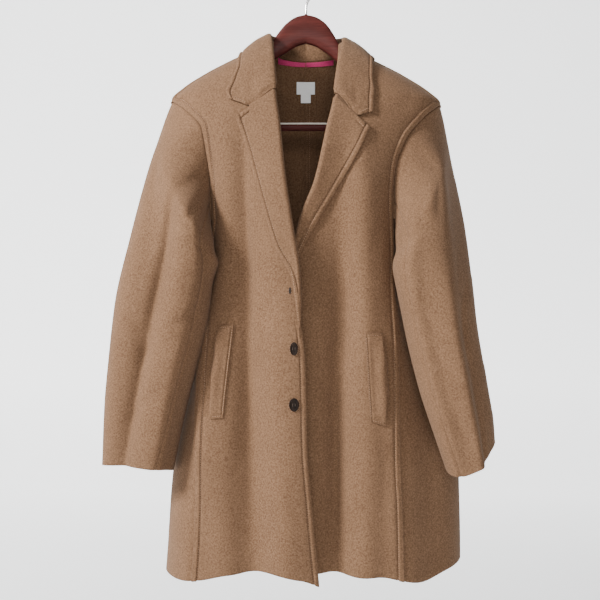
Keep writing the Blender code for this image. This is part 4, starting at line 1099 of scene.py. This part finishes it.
def welt(side, made):
    """A doubled strip sewn on three sides; its outer edge stands open a little."""
    name = "welt_" + WORD[side]
    a, b, c, d = (np.array(corner) for corner in WELT[side])
    down = np.linspace(0, 1, 60)[:, None, None]
    over = np.linspace(0, 1, 20)[None, :, None]
    spot = (a + (b - a) * over) * (1 - down) + (d + (c - d) * over) * down
    turn = turn_at(side, spot[..., 0], spot[..., 1])
    middle, out = body(side, turn, spot[..., 1]), body_out(side, turn, spot[..., 1])
    down, over = down[..., 0], over[..., 0]
    gape = WELT_GAPE[side] * np.sin(math.pi * down) ** 0.8 * ramp(over, 0.35, 1.0)
    low = CLOTH / 2 + SEAM + gape
    near_sewn = np.minimum(over * WELT_SIZE[0], np.minimum(down, 1 - down) * WELT_SIZE[1])
    sewn = 0.0014 * bell(near_sewn - 0.0024, 0.0012)
    top = middle + out * (low + WELT_THICK - 0.0004 - sewn)[..., None]
    obj = cloth(name, top, middle + out * low[..., None], made, name)
    inner, ends = slice(2, -2), slice(1, None)
    return obj, [(top[at], out[at]) for at in ((inner, 1), (1, ends), (-2, ends))]


def seat(side, x, height, lift):
    """A spot on a front's face: its place, and the directions across, up and out."""
    turn = turn_at(side, x, height)
    out = body_out(side, turn, height)
    base = body(side, turn, height) + out * (CLOTH / 2 + lift)
    across = unit(np.cross(out, (0, 0, 1.0)))
    return base, across, np.cross(across, out), out


def button(name, side, height, made, dark, thread, shown=1.0):
    """A dished four-hole button; in a hole only the middle share of its width shows."""
    base, across, up, out = seat(side, BUTTON_X * side, height, BUTTON_LIFT)
    r, t = BUTTON_RADIUS, 0.72 * BUTTON_THICK
    profile = [(wide * r, high * t) for wide, high in BUTTON_PROFILE]
    own(mesh_object(name + "_horn", *disc(base, across * shown, up, out, profile), made), name)
    face = base + out * BUTTON_PROFILE[-1][1] * t
    # the four holes are near-black discs on the face: painted shade in the holes
    apart, hole = 0.18 * r, [(0.09 * r, -0.0001), (0.09 * r, 0.00012)]
    holes, threads = [], []
    for sx in (-1, 1):
        for sy in (-1, 1):
            holes.append(disc(face + (across * sx + up * sy) * apart, across, up, out, hole, 18))
        rings = []
        for sy, lift in ((-1.0, 0.0), (-0.5, 0.0003), (0.5, 0.0003), (1.0, 0.0)):
            spot = face + (across * sx + up * sy) * apart + out * lift
            rings.append(circle(spot, across, out, 0.00035, 8))
        threads.append(skin(rings))
    own(mesh_object(name + "_holes", *joined(holes), dark), None)
    own(mesh_object(name + "_thread", *joined(threads), thread), None)


def worked(height, x, wide, tall):
    """Two rows of close stitches along the edges of a buttonhole."""
    base, across, up, out = seat(LEFT, x, height, HOLE_LIFT)
    share = np.linspace(-1, 1, 26)[:, None]
    bow = wide * np.sqrt(1 - share * share) + 0.0006
    outward = np.repeat(out[None], len(share), axis=0)
    return [(base + across * sign * bow + up * share * tall * 1.06, outward) for sign in (-1, 1)]


def slit(name, height, x, wide, tall, dark):
    """A closed buttonhole: a narrow near-black disc on the front, painted shade where the slit opens."""
    base, across, up, out = seat(LEFT, x, height, HOLE_LIFT)
    profile = [(1.0, -HOLE_LIFT), (1.0, HOLE_LIFT), (0.5, 0.0004)]
    own(mesh_object(name, *disc(base, across * wide, up * tall, out, profile, 40), dark), None)


def inside_back(x_from, x_to, heights, count, gap):
    """Points inside the backs' cloth between two distances right of the centre seam."""
    across, level = np.meshgrid(np.linspace(x_from, x_to, count), heights)
    sides = []
    for side in (LEFT, RIGHT):
        turn = 2 - turn_at(side, np.abs(across), level)
        sides.append(body(side, turn, level) - body_out(side, turn, level) * gap)
    return np.where((across < 0)[..., None], *sides)


def trim(name, made, size, top, thick, counts, over=0.0, lift=0.0):
    """A strip on the inside of the backs; its lower edge may stand off a little."""
    heights = np.linspace(top - size[1], top, counts[1])
    near, far = (
        inside_back(-size[0] / 2, size[0] / 2, heights, counts[0], THIN + TRIM_GAP + over + deep)
        for deep in (0.0, thick)
    )
    off = unit(far - near) * lift * np.linspace(1, 0, counts[1])[:, None, None] ** 2
    return cloth(name, far + off, near + off, made, name)


def allowance(made):
    """The centre back seam's allowance, pressed to the right and stitched down on the inside."""
    heights = np.linspace(HEM + 0.012, NECK - TAPE_SIZE[1] - 0.0030, 150)
    near, far = (inside_back(0.0006, 0.0182, heights, 13, THIN + gap) for gap in (0.0002, 0.0013))
    out = unit(far - near)
    obj = cloth("seam_allowance", far, near, made, bulge=0.6)
    return obj, [(far[3:-3, k], out[3:-3, k]) for k in (1, 4)]


def hanger_body(made):
    """Shaped wooden arms: rounded sections from the left tip to the right one."""
    sections = []
    neck, start = HUMP[-1].x, 0.066
    for side in (LEFT, RIGHT):
        part = []
        for x in np.linspace(0.0, neck, 26)[0 if side == LEFT else 1 :]:
            drop = SHOULDER_DROP[side] * ramp(x, 0.03, 0.06)
            part.append((x, column(HUMP, "top", x, "x") - drop, column(HUMP, "bottom", x, "x") - drop))
        for x in np.linspace(start, HANGER_REACH, 40):
            share = (x - start) / (HANGER_REACH - start)
            top = shoulder_top(side, x) - CLOTH / 2 / math.cos(0.5) - HANGER_SLACK - 0.0008
            depth = ARM_DEPTH[0] + (ARM_DEPTH[1] - ARM_DEPTH[0]) * share
            to_bar = top - (BAR_HEIGHT + BAR_RADIUS + SEAM)
            depth += (to_bar - depth) * ramp(x, HANGER_REACH - ARM_END[0], HANGER_REACH - ARM_END[1])
            part.append((x, top, top - depth))
        x, top, bottom = part[-1]
        for out, less in ((0.0016, 0.0016), (0.0030, 0.0040), (0.0038, 0.0075)):
            part.append((x + out, top - less, bottom + less * 0.85))
        part = [(side * x, top, bottom) for x, top, bottom in part]
        sections += part[::-1] if side == LEFT else part
    around = np.linspace(0, 2 * math.pi, 48, endpoint=False) + math.pi / 2
    cos, sin = np.cos(around), np.sin(around)
    y = HANGER_HALF * np.copysign(np.abs(cos) ** 0.55, cos)
    lift = np.copysign(np.abs(sin) ** 0.75, sin)
    rings = []
    for x, top, bottom in sections:
        z = (top + bottom) / 2 + (top - bottom) / 2 * lift
        rings.append(np.stack([np.full_like(y, x), y, z], axis=1))
    own(mesh_object("hanger_wood", *skin(rings), made), "hanger_body")


def hanger_rods(wood, highlight_cream, steel):
    """The bar with a pale strip along its top, a painted highlight, and the wire hook."""
    end = HANGER_REACH - 0.013
    bar = [(x, 0.0, BAR_HEIGHT) for x in np.linspace(-end, end, 40)]
    tube("hanger_rod", wood, bar, BAR_RADIUS, 40, "hanger_bar")
    # a pale strip along the top of the bar: painted highlight
    highlight_y, highlight_z = -0.50 * BAR_RADIUS, BAR_HEIGHT + 0.86 * BAR_RADIUS
    strip = [(x, highlight_y, highlight_z) for x in np.linspace(0.010 - end, end - 0.010, 40)]
    tube("hanger_rod_highlight", highlight_cream, strip, HIGHLIGHT_RADIUS, 16)
    tube("hanger_wire", steel, hook_line(), HOOK_WIRE, 20, "hanger_hook")


def hook_line():
    centre = HOOK_WIRE - HOOK_RADIUS
    keys = [(x, HANGER_TOP + up) for x, up in HOOK_STEM]
    for a in np.radians(np.linspace(-42, 200, 22)):
        keys.append((HOOK_RADIUS * math.cos(a), centre + HOOK_RADIUS * math.sin(a)))
    keys = np.array(keys)
    at, numbers = np.linspace(0, len(keys) - 1, 130), np.arange(len(keys))
    x, z = (smooth(at, numbers, keys[:, k]) for k in (0, 1))
    return np.stack([x, np.zeros_like(x), z], axis=1)


class Shader:
    """A material as it is put together."""

    def __init__(self, name, roughness, specular, metallic=0.0):
        self.made = bpy.data.materials.new(name)
        self.made.use_nodes = True
        self.nodes, self.links = self.made.node_tree.nodes, self.made.node_tree.links
        self.surface = self.nodes["Principled BSDF"]
        self.set(Roughness=roughness, Metallic=metallic, Specular_IOR_Level=specular)
        self.place = self.nodes.new("ShaderNodeTexCoord").outputs["Object"]

    def set(self, **values):
        for name, value in values.items():
            self.surface.inputs[name.replace("_", " ")].default_value = value

    def join(self, value, name):
        self.links.new(value, self.surface.inputs[name])

    def noise(self, scale, detail, stretch=None):
        place = self.place
        if stretch:
            turned = self.nodes.new("ShaderNodeMapping")
            turned.inputs["Scale"].default_value = stretch
            self.links.new(place, turned.inputs["Vector"])
            place = turned.outputs["Vector"]
        made = self.nodes.new("ShaderNodeTexNoise")
        made.inputs["Scale"].default_value = scale
        made.inputs["Detail"].default_value = detail
        self.links.new(place, made.inputs["Vector"])
        return made.outputs["Fac"]

    def colours(self, value, *stops):
        made = self.nodes.new("ShaderNodeValToRGB")
        elements = made.color_ramp.elements
        while len(elements) < len(stops):
            elements.new(0.5)
        for element, (at, colour) in zip(elements, stops):
            element.position = at
            element.color = (*colour, 1.0)
        self.links.new(value, made.inputs["Fac"])
        return made.outputs["Color"]

    def multiply(self, first, second):
        made = self.nodes.new("ShaderNodeMix")
        made.data_type = "RGBA"
        made.blend_type = "MULTIPLY"
        made.inputs["Factor"].default_value = 1.0
        self.links.new(first, made.inputs["A"])
        self.links.new(second, made.inputs["B"])
        return made.outputs["Result"]

    def bump(self, value, distance, strength):
        made = self.nodes.new("ShaderNodeBump")
        made.inputs["Distance"].default_value = distance
        made.inputs["Strength"].default_value = strength
        self.links.new(value, made.inputs["Height"])
        self.join(made.outputs["Normal"], "Normal")


def wool_material():
    """Flecked melton wool with a fine nap."""
    wool = Shader("wool_cloth", 0.95, 0.12)
    fleck, fibre, slow = wool.noise(430.0, 3.0), wool.noise(1500.0, 2.0), wool.noise(15.0, 2.0)
    tan = wool.colours(fleck, *WOOL_STOPS)
    grain = wool.colours(fibre, (0.30, (0.80, 0.80, 0.81)), (0.70, WHITE))
    worn = wool.colours(slow, (0.35, (0.93, 0.925, 0.92)), (0.65, WHITE))
    wool.join(wool.multiply(wool.multiply(tan, grain), worn), "Base Color")
    wool.set(Sheen_Weight=0.05, Sheen_Roughness=0.55, Sheen_Tint=(0.95, 0.82, 0.70, 1.0))
    wool.bump(fibre, 0.0006, 0.35)
    return wool.made


def plain_material(name, low, high, roughness, scale, specular=0.3, relief=0.0, detail=2.0, metallic=0.0):
    """One uneven tint between a darker and a lighter colour."""
    plain = Shader(name, roughness, specular, metallic)
    weave = plain.noise(scale, detail)
    plain.join(plain.colours(weave, (0.3, low), (0.7, high)), "Base Color")
    if relief:
        plain.bump(weave, relief, 0.5)
    return plain.made


def horn_material():
    horn = Shader("horn", 0.40, 0.07)
    vein = horn.noise(160.0, 4.0, (1.0, 1.0, 0.3))
    tint = horn.colours(vein, (0.35, (0.007, 0.0045, 0.0035)), (0.75, (0.026, 0.016, 0.011)))
    horn.join(tint, "Base Color")
    return horn.made


def wood_material():
    wood = Shader("mahogany", 0.55, 0.10)
    grain, pores = wood.noise(26.0, 5.0, (0.55, 7.0, 7.0)), wood.noise(190.0, 2.0, (0.10, 1.0, 1.0))
    tint = wood.colours(grain, *WOOD_STOPS)
    dots = wood.colours(pores, (0.30, (0.80, 0.78, 0.78)), (0.50, WHITE))
    wood.join(wood.multiply(tint, dots), "Base Color")
    wood.set(Coat_Weight=0.03, Coat_Roughness=0.12)
    return wood.made


def floor_material():
    """Pale floor that runs up into a wall lit by the lamps; both also glow as painted light, from none in
    front of the coat up to full on the wall.
    """
    floor = Shader("pale_floor", 0.95, 0.1)
    patch = floor.noise(4.0, 2.0)
    floor.join(floor.colours(patch, (0.3, (0.89, 0.892, 0.89)), (0.7, (0.91, 0.912, 0.91))), "Base Color")
    # painted light: the glow rises with distance behind the coat and is full on the wall
    parts = floor.nodes.new("ShaderNodeSeparateXYZ")
    floor.links.new(floor.place, parts.inputs["Vector"])
    glow = floor.nodes.new("ShaderNodeMapRange")
    for name, value in (("From Min", 0.5), ("From Max", WALL), ("To Max", GLOW)):
        glow.inputs[name].default_value = value
    floor.links.new(parts.outputs["Y"], glow.inputs["Value"])
    floor.join(glow.outputs["Result"], "Emission Strength")
    floor.set(Emission_Color=(*WHITE, 1.0))
    return floor.made


def studio():
    """Pale floor and wall, soft lamps, and the camera at the photo's viewing angle."""
    profile = [(-5.0, FLOOR), (WALL - SWEEP, FLOOR)]
    for a in np.radians(np.linspace(-90, 0, 14)[1:]):
        profile.append((WALL + SWEEP * (math.cos(a) - 1), FLOOR + SWEEP * (math.sin(a) + 1)))
    profile.append((WALL, 3.0))
    points = [(x, y, z) for y, z in profile for x in (-6.0, 6.0)]
    faces = [(2 * k, 2 * k + 1, 2 * k + 3, 2 * k + 2) for k in range(len(profile) - 1)]
    mesh_object("floor", points, faces, floor_material())
    for name, spot, aim, size, power in LIGHTS:
        lamp = bpy.data.lights.new(name, "AREA")
        lamp.size = size
        lamp.energy = power
        lamp_object = link(name, lamp)
        lamp_object.location = spot
        way = mathutils.Vector(aim) - mathutils.Vector(spot)
        lamp_object.rotation_euler = way.to_track_quat("-Z", "Y").to_euler()
    world = bpy.data.worlds.new("studio")
    world.use_nodes = True
    sky = world.node_tree.nodes["Background"].inputs
    sky["Color"].default_value = (0.93, 0.96, 1.0, 1.0)
    sky["Strength"].default_value = SKY
    bpy.context.scene.world = world
    camera = bpy.data.cameras.new("camera")
    camera.lens = LENS
    camera.sensor_width = 36.0
    camera.clip_start = 0.05
    camera_object = link("camera", camera)
    camera_object.location = EYE
    camera_object.rotation_euler = (math.radians(90), 0.0, 0.0)
    bpy.context.scene.camera = camera_object


def build():
    wool, horn, wood = wool_material(), horn_material(), wood_material()
    thread, dark, pink, white, cord, highlight_cream, steel = (plain_material(*row) for row in PLAIN)
    sewn = {}
    for side in (LEFT, RIGHT):
        for word, make in (("front", front), ("back", back), ("lapel", lapel), ("welt", welt)):
            sewn[f"{word}_{WORD[side]}"] = make(side, wool)
        sewn.update(sleeve(side, wool))
    sewn["collar"] = collar(wool)
    sewn["seam_allowance"] = allowance(wool)
    for number, (side, height, shown) in enumerate(BUTTONS, 1):
        button(f"button_{number}", side, height, horn, dark, cord, shown)
    tape = trim("neck_tape", pink, TAPE_SIZE, NECK - 0.0010, TAPE_THICK, (60, 8))
    label = trim("label", white, LABEL_SIZE, LABEL_TOP, LABEL_THICK, (30, 24), LABEL_OVER)
    tab_top = LABEL_TOP - LABEL_SIZE[1] - SEAM
    tab = trim("size_tab", white, TAB_SIZE, tab_top, LABEL_THICK, (20, 18), LABEL_OVER, 0.002)
    # the first buttonhole's opening is a near-black disc: painted shade
    slit("buttonhole_1", *FIRST_HOLE, dark)
    hole_lines = worked(*FIRST_HOLE)
    for _, height, shown in BUTTONS[1:]:
        hole_lines += worked(height, BUTTON_X * LEFT, shown * BUTTON_RADIUS, BUTTON_RADIUS)
    loose = {"front_left": [stitches("buttonholes_thread", hole_lines, thread)], "back_left": [tape]}
    for name, (_, lines) in sewn.items():
        if lines:
            loose.setdefault(name, []).append(stitches(name + "_stitching", lines, thread))
    hanger_body(wood)
    hanger_rods(wood, highlight_cream, steel)
    studio()


build()
